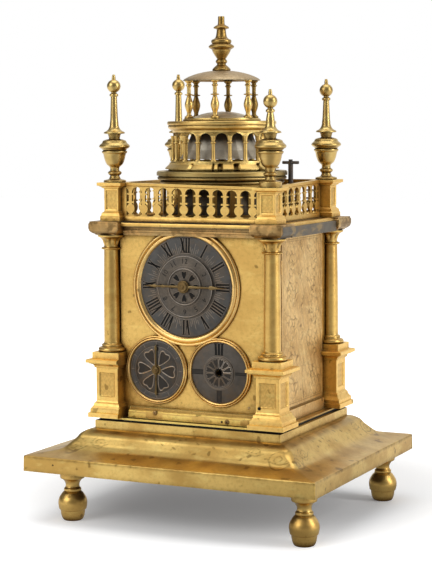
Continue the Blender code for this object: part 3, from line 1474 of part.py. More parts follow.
def build_bolt():
    """A T handled bolt through the roof plate. A quarter turn takes its flat tail from under the plate."""
    low = ROOF_BOTTOM - GAP - BOLT_TAIL
    top = low + BOLT_TAIL + BOLT_HEIGHT
    stem = rod_mesh("stem", (0.0, 0.0, low), (0.0, 0.0, top), BOLT_RADIUS)
    half = BOLT_BAR_LENGTH / 2
    bar = rod_mesh("bar", (-half, 0.0, top), (half, 0.0, top), BOLT_BAR_RADIUS)
    knob_low = (0.0, 0.0, top - BOLT_KNOB_RADIUS)
    knob_high = (0.0, 0.0, top + BOLT_KNOB_RADIUS * 1.4)
    knob = rod_mesh("knob", knob_low, knob_high, BOLT_KNOB_RADIUS)
    tail_low = (-BOLT_RADIUS * 0.8, -BOLT_RADIUS * 2.4, low)
    tail_high = (BOLT_RADIUS * 0.8, BOLT_RADIUS * 2.4, low + BOLT_TAIL)
    tail = box_mesh("tail", tail_low, tail_high)
    bolt = add_object("locking_bolt", joined("locking_bolt", [stem, bar, knob, tail]), IRON)
    place_on(pivot("locking_bolt_axis", (BOLT_X, BOLT_Y, 0.0)), bolt)


# Dials
def ring_points(inner, outer, height):
    """Section of a bezel lying flat, back at zero: a half round, a groove and an inner lip."""
    width = outer - inner
    return [
        (inner, height * 0.80),
        (inner + width * 0.30, height * 0.90),
        (inner + width * 0.62, height),
        (outer, height * 0.30),
        (outer, 0.0),
        (inner, 0.0),
    ]


def facing_front(mesh):
    """Turns a shape made flat about Z so that its +Z side faces the front."""
    mesh.transform(Matrix.Rotation(math.pi / 2, 4, "X"))
    return mesh


def build_bezels():
    main = ring_points(DIAL_RADIUS + GAP, DIAL_RADIUS + BEZEL_WIDTH, BEZEL_HEIGHT)
    mesh = facing_front(turned_mesh("main_bezel", main, BEZEL_SEGMENTS, closed=True))
    bezel = add_object("main_bezel", smoothed(mesh), BEZEL_GOLD)
    bezel.location = (DIAL_X, DIAL_BACK_Y, DIAL_Z)
    side = DIAL_RADIUS + BEZEL_WIDTH
    low = (DIAL_X - side, FRONT_Y - BEZEL_HEIGHT - OVERRUN, WALL_TOP)
    high = (DIAL_X + side, FRONT_Y + OVERRUN, DIAL_Z + side + OVERRUN)
    boolean(bezel, add_object("bezel_top_cutter", box_mesh("top", low, high)))
    reach = DIAL_RADIUS + BEZEL_WIDTH + GAP
    start = (DIAL_X, FRONT_Y + OVERRUN, DIAL_Z)
    end = (DIAL_X, FRONT_Y - BEZEL_HEIGHT - OVERRUN, DIAL_Z)
    cutter = add_object("main_bezel_cutter", rod_mesh("reach", start, end, reach, BEZEL_SEGMENTS))
    small = ring_points(SMALL_DIAL_RADIUS + GAP, SMALL_DIAL_RADIUS + SMALL_BEZEL_WIDTH, BEZEL_HEIGHT)
    mesh = facing_front(turned_mesh("small_bezel", small, DISC_SEGMENTS, closed=True))
    for name, x, z in (("left", LEFT_DIAL_X, LEFT_DIAL_Z), ("right", RIGHT_DIAL_X, RIGHT_DIAL_Z)):
        bezel = add_object(f"{name}_bezel", smoothed(mesh.copy()), BEZEL_GOLD)
        bezel.location = (x, DIAL_BACK_Y, z)
        boolean(bezel, cutter)


def stepped_disc(name, radius, thickness, boss, boss_height, hole, segments):
    """A turned disc with a raised middle and a hole, its back at y = 0 and facing the front."""
    high = thickness + boss_height
    points = [(boss, high), (boss, thickness), (radius, thickness), (radius, 0.0), (hole, 0.0), (hole, high)]
    return smoothed(facing_front(turned_mesh(name, points, segments, closed=True)))


def build_dials():
    bore = HOUR_ARBOR_RADIUS + GAP
    outlines = [circle(DIAL_RADIUS, BEZEL_SEGMENTS), circle(bore, SMALL_SEGMENTS)]
    dial = facing_front(flat_mesh("hour_dial", outlines, DIAL_THICKNESS))
    hour_dial = add_object("hour_dial", dial, DIAL_GREY)
    hour_dial.location = (DIAL_X, DIAL_BACK_Y, DIAL_Z)
    sizes = (ALARM_DISC_RADIUS, ALARM_DISC_THICKNESS, ALARM_BOSS_RADIUS, ALARM_BOSS_HEIGHT, bore)
    disc = stepped_disc("alarm_disc", *sizes, DISC_SEGMENTS)
    alarm = add_object("alarm_disc", disc, DIAL_GREY)
    axis = pivot("alarm_disc_axis", (DIAL_X, DIAL_FACE_Y - GAP, DIAL_Z))
    place_on(axis, alarm)
    sizes = (SMALL_DIAL_RADIUS, DIAL_THICKNESS, ROSETTE_RADIUS, ROSETTE_HEIGHT)
    for name, x, z, hole in (
        ("left", LEFT_DIAL_X, LEFT_DIAL_Z, LEFT_ARBOR_RADIUS + GAP),
        ("right", RIGHT_DIAL_X, RIGHT_DIAL_Z, RIGHT_HUB_HOLE),
    ):
        disc = stepped_disc(f"{name}_dial", *sizes, hole, DISC_SEGMENTS)
        made = add_object(f"{name}_dial", disc, DIAL_GREY)
        made.location = (x, DIAL_BACK_Y, z)


def hand_outline(reach, tail):
    """A slim hand with a leaf before its tip and another on its tail, along +X."""
    half = [
        (-tail, HAND_TIP_HALF),
        (-tail * 0.80, HAND_LEAF_HALF),
        (-tail * 0.60, HAND_WAIST_HALF * 0.6),
        (0.0, HAND_WAIST_HALF),
        (reach * 0.62, HAND_WAIST_HALF * 0.6),
        (reach * 0.74, HAND_LEAF_HALF),
        (reach, HAND_TIP_HALF),
    ]
    return [(x, -y) for x, y in half] + [(x, y) for x, y in reversed(half)]


def build_hands():
    """Hands with domed hubs. The hour hand sits on the front end of the hour arbor."""
    blade = facing_front(flat_mesh("blade", [hand_outline(HOUR_HAND_REACH, HOUR_HAND_TAIL)], HAND_THICKNESS))
    hub = hub_mesh(HOUR_HUB_RADIUS, HOUR_HUB_HEIGHT)
    hour = add_object("hour_hand", joined("hour_hand", [blade, hub]), GILT)
    axis = pivot("hour_hand_axis", (DIAL_X, HAND_Y, DIAL_Z))
    place_on(axis, hour)
    small_y = DIAL_FACE_Y - ROSETTE_HEIGHT - GAP
    blade = facing_front(flat_mesh("blade", [hand_outline(LEFT_HAND_REACH, LEFT_HAND_REACH)], HAND_THICKNESS))
    hub = hub_mesh(LEFT_HUB_RADIUS, LEFT_HUB_HEIGHT)
    tail_end = FRONT_Y - small_y + CASE_SHEET + OVERRUN
    arbor = rod_mesh("arbor", (0.0, -HAND_THICKNESS / 2, 0.0), (0.0, tail_end, 0.0), LEFT_ARBOR_RADIUS)
    collar_start = (0.0, tail_end - OVERRUN + GAP, 0.0)
    collar = rod_mesh("collar", collar_start, (0.0, tail_end, 0.0), LEFT_HUB_RADIUS)
    blade.transform(Matrix.Rotation(math.pi / 2, 4, "Y"))
    left = add_object("left_hand", joined("left_hand", [blade, hub, arbor, collar]), GILT)
    axis = pivot("left_hand_axis", (LEFT_DIAL_X, small_y, LEFT_DIAL_Z))
    place_on(axis, left)


def hub_mesh(radius, height):
    """A domed hub facing the front, its flat back at y = 0."""
    points = [(radius * 0.45, height), (radius * 0.85, height * 0.72), (radius, height * 0.25), (radius, 0.0)]
    return facing_front(turned_mesh("hub", points, SMALL_SEGMENTS))


# Movement
def wheel_outline(teeth, module, turn):
    """Outline of a wheel with pointed teeth, one tip at the angle turn."""
    pitch = teeth * module / 2
    points = []
    for index in range(2 * teeth):
        radius = pitch + WHEEL_TIP * module if index % 2 == 0 else pitch - WHEEL_ROOT * module
        angle = turn + math.pi * index / teeth
        points.append((radius * math.cos(angle), radius * math.sin(angle)))
    return points


def pinion_outline(module, turn):
    """Outline of a pinion with slim flat ended leaves, one leaf at the angle turn."""
    pitch = PINION_LEAVES * module / 2
    tip, root = pitch + LEAF_TIP * module, pitch - LEAF_ROOT * module
    step = math.tau / PINION_LEAVES
    corners = ((root, -LEAF_ROOT_SHARE), (tip, -LEAF_TIP_SHARE), (tip, LEAF_TIP_SHARE), (root, LEAF_ROOT_SHARE))
    points = []
    for index in range(PINION_LEAVES):
        for radius, share in corners:
            angle = turn + (index + share) * step
            points.append((radius * math.cos(angle), radius * math.sin(angle)))
    return points


def crossing_outlines(inner, outer, turn):
    """The openings between the arms of a wheel."""
    outlines = []
    for index in range(CROSSINGS):
        start = turn + math.tau * index / CROSSINGS
        end = start + math.tau / CROSSINGS
        points = []
        for radius, shares in ((outer, (0.0, 0.5, 1.0)), (inner, (1.0, 0.0))):
            slack = math.asin(WHEEL_THICKNESS / radius)
            for share in shares:
                angle = start + slack + (end - start - 2 * slack) * share
                points.append((radius * math.cos(angle), radius * math.sin(angle)))
        outlines.append(points)
    return outlines


def polar(centre, radius, angle):
    return centre[0] + radius * math.cos(angle), centre[1] + radius * math.sin(angle)


def centre_distance(module, teeth):
    return module * (teeth + PINION_LEAVES) / 2 + MESH_CLEARANCE


def train_places():
    """Centres of the arbors in X and Z."""
    places = {"great": (FUSEE_X, FUSEE_Z)}
    chain = (
        ("second", "great", GREAT_MODULE, GREAT_TEETH, SECOND_ANGLE),
        ("third", "second", SECOND_MODULE, SECOND_TEETH, THIRD_ANGLE),
        ("crown", "third", THIRD_MODULE, THIRD_TEETH, CROWN_ANGLE),
    )
    for name, before, module, teeth, angle in chain:
        places[name] = polar(places[before], centre_distance(module, teeth), angle)
    places["strike"] = (STRIKE_X, STRIKE_Z)
    reach = centre_distance(STRIKE_MODULE, STRIKE_TEETH)
    places["fly"] = polar(places["strike"], reach, FLY_ANGLE)
    return places


def leaf_turn(teeth, angle):
    """Rest angle of a pinion at the given angle from a wheel that has a tip at angle zero."""
    pitch = math.tau / teeth
    offset = angle / pitch - round(angle / pitch)
    return angle + math.pi + math.tau / PINION_LEAVES * (0.5 + offset)


def hour_module():
    """Module of the hour wheel and its pinion, from the distance between their arbors."""
    x, z = train_places()["second"]
    distance = math.hypot(x - DIAL_X, z - DIAL_Z)
    return 2 * (distance - MESH_CLEARANCE) / (HOUR_TEETH + PINION_LEAVES)


def hour_leaf_turn():
    """Rest angle of the hour pinion, seen from the hour wheel."""
    x, z = train_places()["second"]
    return leaf_turn(HOUR_TEETH, math.atan2(z - DIAL_Z, x - DIAL_X))


def plate_at(outlines, thickness, y):
    """A plate drawn in X and Z whose front face is at the given y."""
    mesh = facing_front(flat_mesh("wheel", outlines, thickness))
    mesh.transform(Matrix.Translation((0.0, y + thickness, 0.0)))
    return mesh


def arbor_mesh(start, end, radius=ARBOR_RADIUS):
    return rod_mesh("arbor", (0.0, start, 0.0), (0.0, end, 0.0), radius)


def lying_mesh(name, points, segments, y):
    """A turned shape laid along Y, its foot at the given y and its top towards the back."""
    mesh = turned_mesh(name, points, segments)
    mesh.transform(Matrix.Translation((0.0, y, 0.0)) @ Matrix.Rotation(-math.pi / 2, 4, "X"))
    return mesh


def crossed_wheel(teeth, module, y):
    pitch = teeth * module / 2
    holes = crossing_outlines(pitch * HUB_SHARE, pitch * RIM_SHARE, math.pi / CROSSINGS)
    return plate_at([wheel_outline(teeth, module, 0.0)] + holes, WHEEL_THICKNESS, y)


def pinion_for(wheel_y, module, turn):
    """A pinion centred on the wheel that it meshes with."""
    start = wheel_y + (WHEEL_THICKNESS - PINION_LENGTH) / 2
    return plate_at([pinion_outline(module, turn)], PINION_LENGTH, start)


def train_piece(name, arbor, meshes, look=GILT):
    """An object of the movement on the empty that stands on its arbor's axis."""
    piece = add_object(name, joined(name, meshes), look)
    x, z = train_places()[arbor]
    return place_on(pivot(f"{name}_axis", (x, 0.0, z)), piece)


def build_fusee():
    """Great wheel and fusee, a cone with a groove for each turn of its line."""
    wheel = plate_at([wheel_outline(GREAT_TEETH, GREAT_MODULE, 0.0)], WHEEL_THICKNESS, GREAT_Y)
    pitch = FUSEE_LENGTH / FUSEE_TURNS
    points = [(FUSEE_SMALL_RADIUS, FUSEE_LENGTH)]
    for index in range(FUSEE_TURNS):
        share = (index + 1) / FUSEE_TURNS
        radius = FUSEE_SMALL_RADIUS + (FUSEE_LARGE_RADIUS - FUSEE_SMALL_RADIUS) * share
        level = FUSEE_LENGTH - index * pitch
        points.append((radius - FUSEE_GROOVE, level - pitch / 2))
        points.append((radius, level - pitch))
    cone = lying_mesh("cone", points, COLUMN_SEGMENTS, GREAT_Y + WHEEL_THICKNESS / 2)
    train_piece("fusee", "great", [arbor_mesh(MOVEMENT_FRONT, MOVEMENT_MIDDLE), wheel, cone])


def drum_points(radius, length):
    """A barrel with a lip at each end."""
    lip = radius + BARREL_FLANGE
    edge = BARREL_FLANGE_THICKNESS
    return [
        (lip, length),
        (lip, length - edge),
        (radius, length - edge),
        (radius, edge),
        (lip, edge),
        (lip, 0.0),
    ]


def build_barrel():
    """The spring barrel, level with the fusee."""
    drum = lying_mesh("drum", drum_points(BARREL_RADIUS, FUSEE_LENGTH), COLUMN_SEGMENTS + 2, GREAT_Y)
    mesh = joined("barrel", [arbor_mesh(MOVEMENT_FRONT, MOVEMENT_MIDDLE), drum])
    barrel = add_object("barrel", mesh, GILT)
    place_on(pivot("barrel_axis", (BARREL_X, 0.0, FUSEE_Z)), barrel)


def build_second_wheel():
    """Second wheel. Its arbor runs through the front bar to the pinion of the hour wheel."""
    front_end = HOUR_WHEEL_Y + (WHEEL_THICKNESS - PINION_LENGTH) / 2
    meshes = [
        arbor_mesh(front_end, MOVEMENT_MIDDLE),
        crossed_wheel(SECOND_TEETH, SECOND_MODULE, SECOND_Y),
        pinion_for(GREAT_Y, GREAT_MODULE, leaf_turn(GREAT_TEETH, SECOND_ANGLE)),
        pinion_for(HOUR_WHEEL_Y, hour_module(), hour_leaf_turn()),
    ]
    train_piece("second_wheel", "second", meshes)


def build_third_wheel():
    meshes = [
        arbor_mesh(MOVEMENT_FRONT, MOVEMENT_MIDDLE),
        crossed_wheel(THIRD_TEETH, THIRD_MODULE, THIRD_Y),
        pinion_for(SECOND_Y, SECOND_MODULE, leaf_turn(SECOND_TEETH, THIRD_ANGLE)),
    ]
    train_piece("third_wheel", "third", meshes)


def build_crown_wheel():
    """A cup with teeth on its rim that point to the back, towards the verge."""
    outer, inner = CROWN_RADIUS, CROWN_RADIUS - CROWN_SHEET
    points = [
        (outer, CROWN_LENGTH),
        (outer, 0.0),
        (ARBOR_RADIUS / 2, 0.0),
        (ARBOR_RADIUS / 2, CROWN_SHEET),
        (inner, CROWN_SHEET),
        (inner, CROWN_LENGTH),
    ]
    mesh = turned_mesh("crown", points, CROWN_TEETH, closed=True)
    high = CROWN_LENGTH
    low = high - CROWN_TOOTH_DEPTH
    half = math.pi * outer / CROWN_TEETH * 0.85
    notch = [(-half, high + OVERRUN / 4), (half / 2, low), (half, high + OVERRUN / 4)]
    prism = stood_up(flat_mesh("notch", [notch], outer - inner + 2 * OVERRUN, inner - OVERRUN))
    cutters = []
    for index in range(CROWN_TEETH):
        cutters.append(moved(prism, turn=math.tau * (index + 0.5) / CROWN_TEETH + math.pi / 2))
    crown = carved("crown", mesh, [merged("notches", cutters)])
    crown.transform(Matrix.Translation((0.0, CROWN_Y, 0.0)) @ Matrix.Rotation(-math.pi / 2, 4, "X"))
    meshes = [
        arbor_mesh(MOVEMENT_FRONT, CROWN_Y + CROWN_SHEET),
        crown,
        pinion_for(THIRD_Y, THIRD_MODULE, leaf_turn(THIRD_TEETH, CROWN_ANGLE)),
    ]
    train_piece("crown_wheel", "crown", meshes)


def potence_top():
    return train_places()["crown"][1] - CROWN_RADIUS - 2 * PALLET_HEIGHT


def build_balance():
    """Verge with two pallets, and the balance wheel on it above the movement's top plate."""
    level = MOVEMENT_TOP_Z + MOVEMENT_TOP_THICKNESS + BALANCE_LIFT
    ring = flat_mesh(
        "rim",
        [circle(BALANCE_RADIUS, BEZEL_SEGMENTS), circle(BALANCE_RADIUS - BALANCE_RIM, BEZEL_SEGMENTS)],
        BALANCE_THICKNESS,
        level,
    )
    reach = BALANCE_RADIUS - BALANCE_RIM / 2
    half = BALANCE_ARM_WIDTH / 2
    middle = level + BALANCE_THICKNESS / 4
    arm = box_mesh("arm", (-reach, -half, middle), (reach, half, middle + BALANCE_THICKNESS / 2))
    verge = rod_mesh("verge", (0.0, 0.0, potence_top() + GAP), (0.0, 0.0, level + VERGE_STEP), VERGE_RADIUS)
    meshes = [verge, arm, ring]
    crown_z = train_places()["crown"][1]
    for side, turn in ((1, math.radians(135)), (-1, math.radians(45))):
        low = crown_z + side * (CROWN_RADIUS - CROWN_SHEET) - PALLET_HEIGHT / 2
        sheet = PALLET_SHEET / 2
        pallet = box_mesh("pallet", (0.0, -sheet, low), (PALLET_LENGTH, sheet, low + PALLET_HEIGHT))
        meshes.append(moved(pallet, turn=turn))
    balance = add_object("balance", joined("balance", meshes), STEEL)
    x = train_places()["crown"][0]
    place_on(pivot("balance_axis", (x, VERGE_Y, 0.0)), balance)


def build_hour_wheel():
    """The hour wheel behind the front plate, on the arbor that carries the hour hand."""
    end = FRONT_BAR_Y - GAP
    meshes = [
        arbor_mesh(HAND_Y + GAP, end, HOUR_ARBOR_RADIUS),
        crossed_wheel(HOUR_TEETH, hour_module(), HOUR_WHEEL_Y),
    ]
    wheel = add_object("hour_wheel", joined("hour_wheel", meshes), GILT)
    place_on(pivot("hour_wheel_axis", (DIAL_X, 0.0, DIAL_Z)), wheel)


def build_strike_wheel():
    """Strike barrel and great wheel with the pins that lift the hammer's tail."""
    wheel = plate_at([wheel_outline(STRIKE_TEETH, STRIKE_MODULE, 0.0)], WHEEL_THICKNESS, STRIKE_Y)
    start = STRIKE_Y + WHEEL_THICKNESS / 2
    drum = lying_mesh("drum", drum_points(STRIKE_DRUM_RADIUS, STRIKE_DRUM_LENGTH), COLUMN_SEGMENTS + 2, start)
    meshes = [arbor_mesh(STRIKE_FRONT, STRIKE_BACK), wheel, drum]
    for index in range(STRIKE_PINS):
        x, z = polar((0.0, 0.0), STRIKE_PIN_CIRCLE, math.tau * index / STRIKE_PINS)
        end = STRIKE_Y + WHEEL_THICKNESS + STRIKE_PIN_LENGTH
        meshes.append(rod_mesh("pin", (x, start, z), (x, end, z), STRIKE_PIN_RADIUS, TINY_SEGMENTS))
    train_piece("strike_barrel", "strike", meshes)


def build_fly():
    """The fly, an air brake on its own pinion."""
    low = STRIKE_BACK - FLY_LENGTH - PINION_LENGTH
    half = FLY_SHEET / 2
    vane = box_mesh("vane", (-FLY_RADIUS, low, -half), (FLY_RADIUS, low + FLY_LENGTH, half))
    meshes = [
        arbor_mesh(STRIKE_FRONT, STRIKE_BACK),
        vane,
        pinion_for(STRIKE_Y, STRIKE_MODULE, leaf_turn(STRIKE_TEETH, FLY_ANGLE)),
    ]
    train_piece("strike_fly", "fly", meshes)


def build_hammer():
    """Hour hammer: an upright arbor with a tail by the lifting pins and its head inside the lower bell."""
    head_low = ATTIC_BOTTOM + HAMMER_HEAD_LIFT - HAMMER_HEAD_HEIGHT / 2
    arm_z = ATTIC_BOTTOM + HAMMER_HEAD_LIFT
    out = math.atan2(HAMMER_Y, HAMMER_X) - HAMMER_REST
    head_x, head_y = polar((0.0, 0.0), HAMMER_ARM_LENGTH, out)
    arbor = rod_mesh("arbor", (0.0, 0.0, HAMMER_FOOT_Z), (0.0, 0.0, arm_z), HAMMER_ARBOR_RADIUS)
    low = arm_z - HAMMER_ARM_RADIUS
    arm = rod_mesh("arm", (0.0, 0.0, low), (head_x, head_y, low), HAMMER_ARM_RADIUS)
    head_ends = (head_x, head_y, head_low), (head_x, head_y, head_low + HAMMER_HEAD_HEIGHT)
    head = rod_mesh("head", *head_ends, HAMMER_HEAD_RADIUS)
    tail_z = HAMMER_FOOT_Z + 2 * HAMMER_ARM_RADIUS
    tail = rod_mesh("tail", (0.0, 0.0, tail_z), (0.0, -HAMMER_TAIL, tail_z), HAMMER_ARM_RADIUS)
    hammer = add_object("hour_hammer", joined("hour_hammer", [arbor, arm, head, tail]), STEEL)
    place_on(pivot("hour_hammer_axis", (HAMMER_X, HAMMER_Y, 0.0)), hammer)


def build_movement_frame():
    """Floor plate, corner pillars, three pivot bars, the potence under the verge and the top plate."""
    low, high = FLOOR_TOP - OVERRUN / 4, MOVEMENT_TOP_Z + MOVEMENT_TOP_THICKNESS / 2
    floor = box_mesh(
        "floor",
        (-FLOOR_WIDTH / 2, -FLOOR_DEPTH / 2, FLOOR_BOTTOM),
        (FLOOR_WIDTH / 2, FLOOR_DEPTH / 2, FLOOR_TOP),
    )
    half_x, half_y = MOVEMENT_WIDTH / 2, MOVEMENT_DEPTH / 2
    top_high = MOVEMENT_TOP_Z + MOVEMENT_TOP_THICKNESS
    top = box_mesh("top", (-half_x, -half_y, MOVEMENT_TOP_Z), (half_x, half_y, top_high))
    meshes = [floor, top]
    for side, end in CORNERS.values():
        x, y = side * (half_x - PILLAR_WIDTH / 2 - GAP), end * (half_y - PILLAR_WIDTH / 2 - GAP)
        half = PILLAR_WIDTH / 2
        meshes.append(box_mesh("pillar", (x - half, y - half, low), (x + half, y + half, high)))
    for y in (FRONT_BAR_Y, MIDDLE_BAR_Y, BACK_BAR_Y):
        half = BAR_WIDTH / 2
        meshes.append(box_mesh("bar", (-half, y, low), (half, y + BAR_THICKNESS, high)))
    crown_x = train_places()["crown"][0]
    potence = potence_top()
    half = POTENCE_WIDTH / 2
    reach = VERGE_Y - half
    start = (crown_x - half, reach, potence - POTENCE_THICKNESS)
    end = (crown_x + half, MIDDLE_BAR_Y + BAR_THICKNESS / 2, potence)
    meshes.append(box_mesh("potence", start, end))
    frame = joined("movement_frame", meshes)
    x, z = train_places()["second"]
    second = (x, FRONT_BAR_Y - OVERRUN, z), (x, FRONT_BAR_Y + BAR_THICKNESS + OVERRUN, z)
    uprights = (
        (crown_x, VERGE_Y, VERGE_RADIUS + GAP),
        (HAMMER_X, HAMMER_Y, HAMMER_ARBOR_RADIUS + GAP),
    )
    cutters = [rod_mesh("hole", *second, ARBOR_RADIUS + GAP)]
    for x, y, radius in uprights:
        ends = (x, y, MOVEMENT_TOP_Z - OVERRUN), (x, y, top_high + OVERRUN)
        cutters.append(rod_mesh("hole", *ends, radius))
    frame = carved("movement_frame", frame, [merged("holes", cutters)])
    add_object("movement_frame", frame, WORN_GILT)


def main():
    clear_scene()
    case_cutter = build_case_cutter()
    build_feet()
    build_base_board()
    build_base_moulding()
    build_pedestals(case_cutter)
    build_columns(case_cutter)
    build_walls()
    build_doors()
    build_entablature()
    build_roof()
    build_posts()
    build_balustrades()
    build_finials()
    build_lower_drum()
    build_upper_drum()
    build_drum_dome()
    build_lantern()
    build_top_finial()
    build_bells()
    build_bolt()
    build_bezels()
    build_dials()
    build_hands()
    build_movement_frame()
    build_barrel()
    build_fusee()
    build_second_wheel()
    build_third_wheel()
    build_crown_wheel()
    build_balance()
    build_hour_wheel()
    build_strike_wheel()
    build_fly()
    build_hammer()


PARTS = collection(OBJECT_NAME)
CUTTERS = collection("cutters", hidden=True)
main()
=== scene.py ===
"""The looks of a gilt brass tower table clock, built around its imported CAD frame.

Shapes are worked out in millimetres, in the frame of the CAD part: front at -Y, right side at +X, up +Z.
"""
import math

import bpy
import numpy as np
from mathutils import Matrix, Vector


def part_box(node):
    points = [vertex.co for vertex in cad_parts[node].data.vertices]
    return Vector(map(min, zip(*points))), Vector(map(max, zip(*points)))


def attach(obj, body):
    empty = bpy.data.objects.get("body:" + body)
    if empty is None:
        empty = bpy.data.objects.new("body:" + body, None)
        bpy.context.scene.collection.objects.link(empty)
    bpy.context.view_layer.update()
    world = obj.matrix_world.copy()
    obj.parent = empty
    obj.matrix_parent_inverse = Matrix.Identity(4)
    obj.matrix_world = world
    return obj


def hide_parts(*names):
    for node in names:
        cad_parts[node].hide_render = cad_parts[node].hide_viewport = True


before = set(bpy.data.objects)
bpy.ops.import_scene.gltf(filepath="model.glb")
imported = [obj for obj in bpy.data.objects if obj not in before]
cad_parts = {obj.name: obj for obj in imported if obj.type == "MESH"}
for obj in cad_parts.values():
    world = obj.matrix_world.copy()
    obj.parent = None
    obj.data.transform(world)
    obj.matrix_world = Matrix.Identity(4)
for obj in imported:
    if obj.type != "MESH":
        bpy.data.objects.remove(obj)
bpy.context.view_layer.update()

bl_info = {
    "name": "Tower Table Clock",
    "version": (1, 0, 0),
    "blender": (4, 5, 0),
    "location": "View3D > Sidebar > Clock",
    "description": "Builds the gilt brass tower table clock around its frame",
    "category": "Add Mesh",
}

MM = 0.001
FULL_TURN = 2.0 * math.pi
CREASE = math.radians(38.0)
WHITE = (1, 1, 1, 1)
ATTIC_SINK = 2.2
COLUMN_X, COLUMN_Y = 55.9, 46.5
CAPITAL_FOOT, CAPITAL_RISE = 174.6, 5.2
BASE_REACH_X, BASE_REACH_Y = 35.3, 30.42
CORNERS = {
    "front_left": (-1, -1),
    "front_right": (1, -1),
    "back_right": (1, 1),
    "back_left": (-1, 1),
}

# Camera, from a fit of the photograph
CAMERA_PLACE = (0.46505, -0.96311, 0.24876)
CAMERA_TARGET = (-0.00392, -0.00191, 0.14932)
CAMERA_ROLL = math.radians(-0.3524)
CAMERA_LENS = 106.12
CAMERA_SENSOR = 36.0

# Profiles of the turned pieces, as radius and height in millimetres. A point given twice is a corner
FOOT = (
    (0, 0), (0, 0), (5.6, 0), (5.6, 0), (6.5, 0.8), (7.4, 3.2), (7.9, 6.6), (7.9, 6.6), (8.7, 7.2),
    (8.7, 7.2), (9.25, 10.7), (8.9, 13.4), (8.0, 15.4), (6.5, 17.6), (5.2, 18.7), (5.2, 18.7), (5.5, 19.1),
    (5.5, 20.2), (5.2, 20.5), (5.2, 20.5), (4.5, 21.5), (4.4, 23.0), (4.8, 24.4), (5.8, 25.9), (7.3, 26.9),
    (7.3, 26.9), (7.8, 27.5), (8.0, 30.9), (8.0, 30.9), (0, 30.9), (0, 30.9),
)
COLUMN = (
    (0, 107.1), (0, 107.1), (8.6, 107.1), (8.6, 107.1), (9.0, 107.8), (9.0, 108.6), (8.6, 109.3),
    (8.0, 109.4), (8.0, 109.4), (7.0, 109.9), (6.6, 110.4), (6.9, 110.9), (6.7, 111.5), (6.0, 111.8),
    (6.0, 111.8), (5.6, 112.4), (5.35, 113.6), (5.3, 125), (5.2, 145), (4.95, 160), (4.75, 171.3),
    (4.75, 171.3), (4.9, 171.9), (5.9, 172.1), (6.5, 172.7), (5.9, 173.3), (4.8, 173.6), (4.8, 173.6),
    (4.7, 174.4), (4.8, 175.4), (5.3, 177.4), (6.5, 179.0), (8.1, 179.9), (8.1, 179.9), (8.6, 180.2),
    (8.7, 181.1), (8.7, 181.1), (0, 181.1), (0, 181.1),
)
FINIAL_BODY = (
    (0, 215.4), (0, 215.4), (7.0, 215.4), (7.0, 215.4), (7.1, 216.0), (6.4, 216.6), (4.2, 217.1),
    (3.5, 217.8), (2.9, 219.3), (2.9, 219.3), (3.9, 220.2), (4.4, 221.1), (3.9, 221.9), (2.9, 222.6),
    (2.9, 222.6), (2.9, 224.0), (3.4, 225.0), (5.1, 226.6), (6.3, 229.4), (7.0, 232.4), (7.3, 233.2),
    (7.3, 233.2), (7.9, 233.8), (7.9, 234.8), (7.1, 235.1), (7.1, 235.1), (8.2, 236.3), (9.2, 236.9),
    (9.7, 237.8), (9.2, 238.8), (7.9, 240.0), (7.2, 241.3), (5.6, 242.0), (3.6, 242.5), (3.6, 243.6),
    (3.9, 244.9), (4.2, 245.6), (4.2, 245.6), (6.4, 245.8), (6.6, 246.4), (6.2, 246.9), (4.8, 247.6),
    (3.8, 248.6), (3.1, 250.0), (2.75, 251.4),
)
TOP_FINIAL = (
    (0, 284.6), (0, 284.6), (5.7, 284.6), (5.7, 284.6), (5.8, 285.6), (4.6, 287.0), (3.0, 288.4),
    (2.8, 289.1), (2.8, 289.1), (3.5, 289.8), (3.7, 290.6), (3.4, 291.4), (2.7, 292.1), (2.7, 292.1),
    (3.9, 293.9), (5.0, 295.6), (5.8, 297.2), (5.8, 297.2), (6.0, 298.0), (6.9, 298.6), (7.8, 299.2),
    (8.2, 299.9), (7.7, 300.7), (6.6, 301.4), (5.9, 302.0), (5.9, 302.0), (6.4, 302.6), (6.4, 303.8),
    (5.9, 304.4), (4.6, 305.0), (3.6, 306.2), (3.1, 308.6), (2.9, 310.7), (2.9, 310.7), (3.5, 311.1),
    (4.8, 311.5), (4.9, 312.1), (4.4, 312.7), (3.0, 313.5), (2.2, 314.4), (2.05, 318.5), (2.05, 318.5),
    (1.9, 319.1), (1.9, 319.1), (0, 319.1), (0, 319.1),
)
LANTERN_COLUMN = (
    (0, 0.0), (0, 0.0), (2.8, 0.0), (2.8, 0.0), (2.8, 1.2), (2.1, 1.7), (1.5, 2.4), (1.4, 3.4), (1.6, 4.4),
    (2.3, 6.4), (2.7, 8.4), (2.5, 10.2), (1.8, 12.4), (1.3, 14.0), (1.3, 14.0), (1.3, 14.5), (2.6, 14.8),
    (2.6, 15.3), (1.3, 15.6), (1.3, 15.6), (1.25, 18.0), (1.35, 20.2), (1.35, 20.2), (1.9, 20.6), (1.9, 21.2),
    (1.4, 21.6), (1.4, 21.6), (1.6, 22.6), (2.5, 23.4), (2.6, 24.5), (2.6, 24.5), (0, 24.5), (0, 24.5),
)
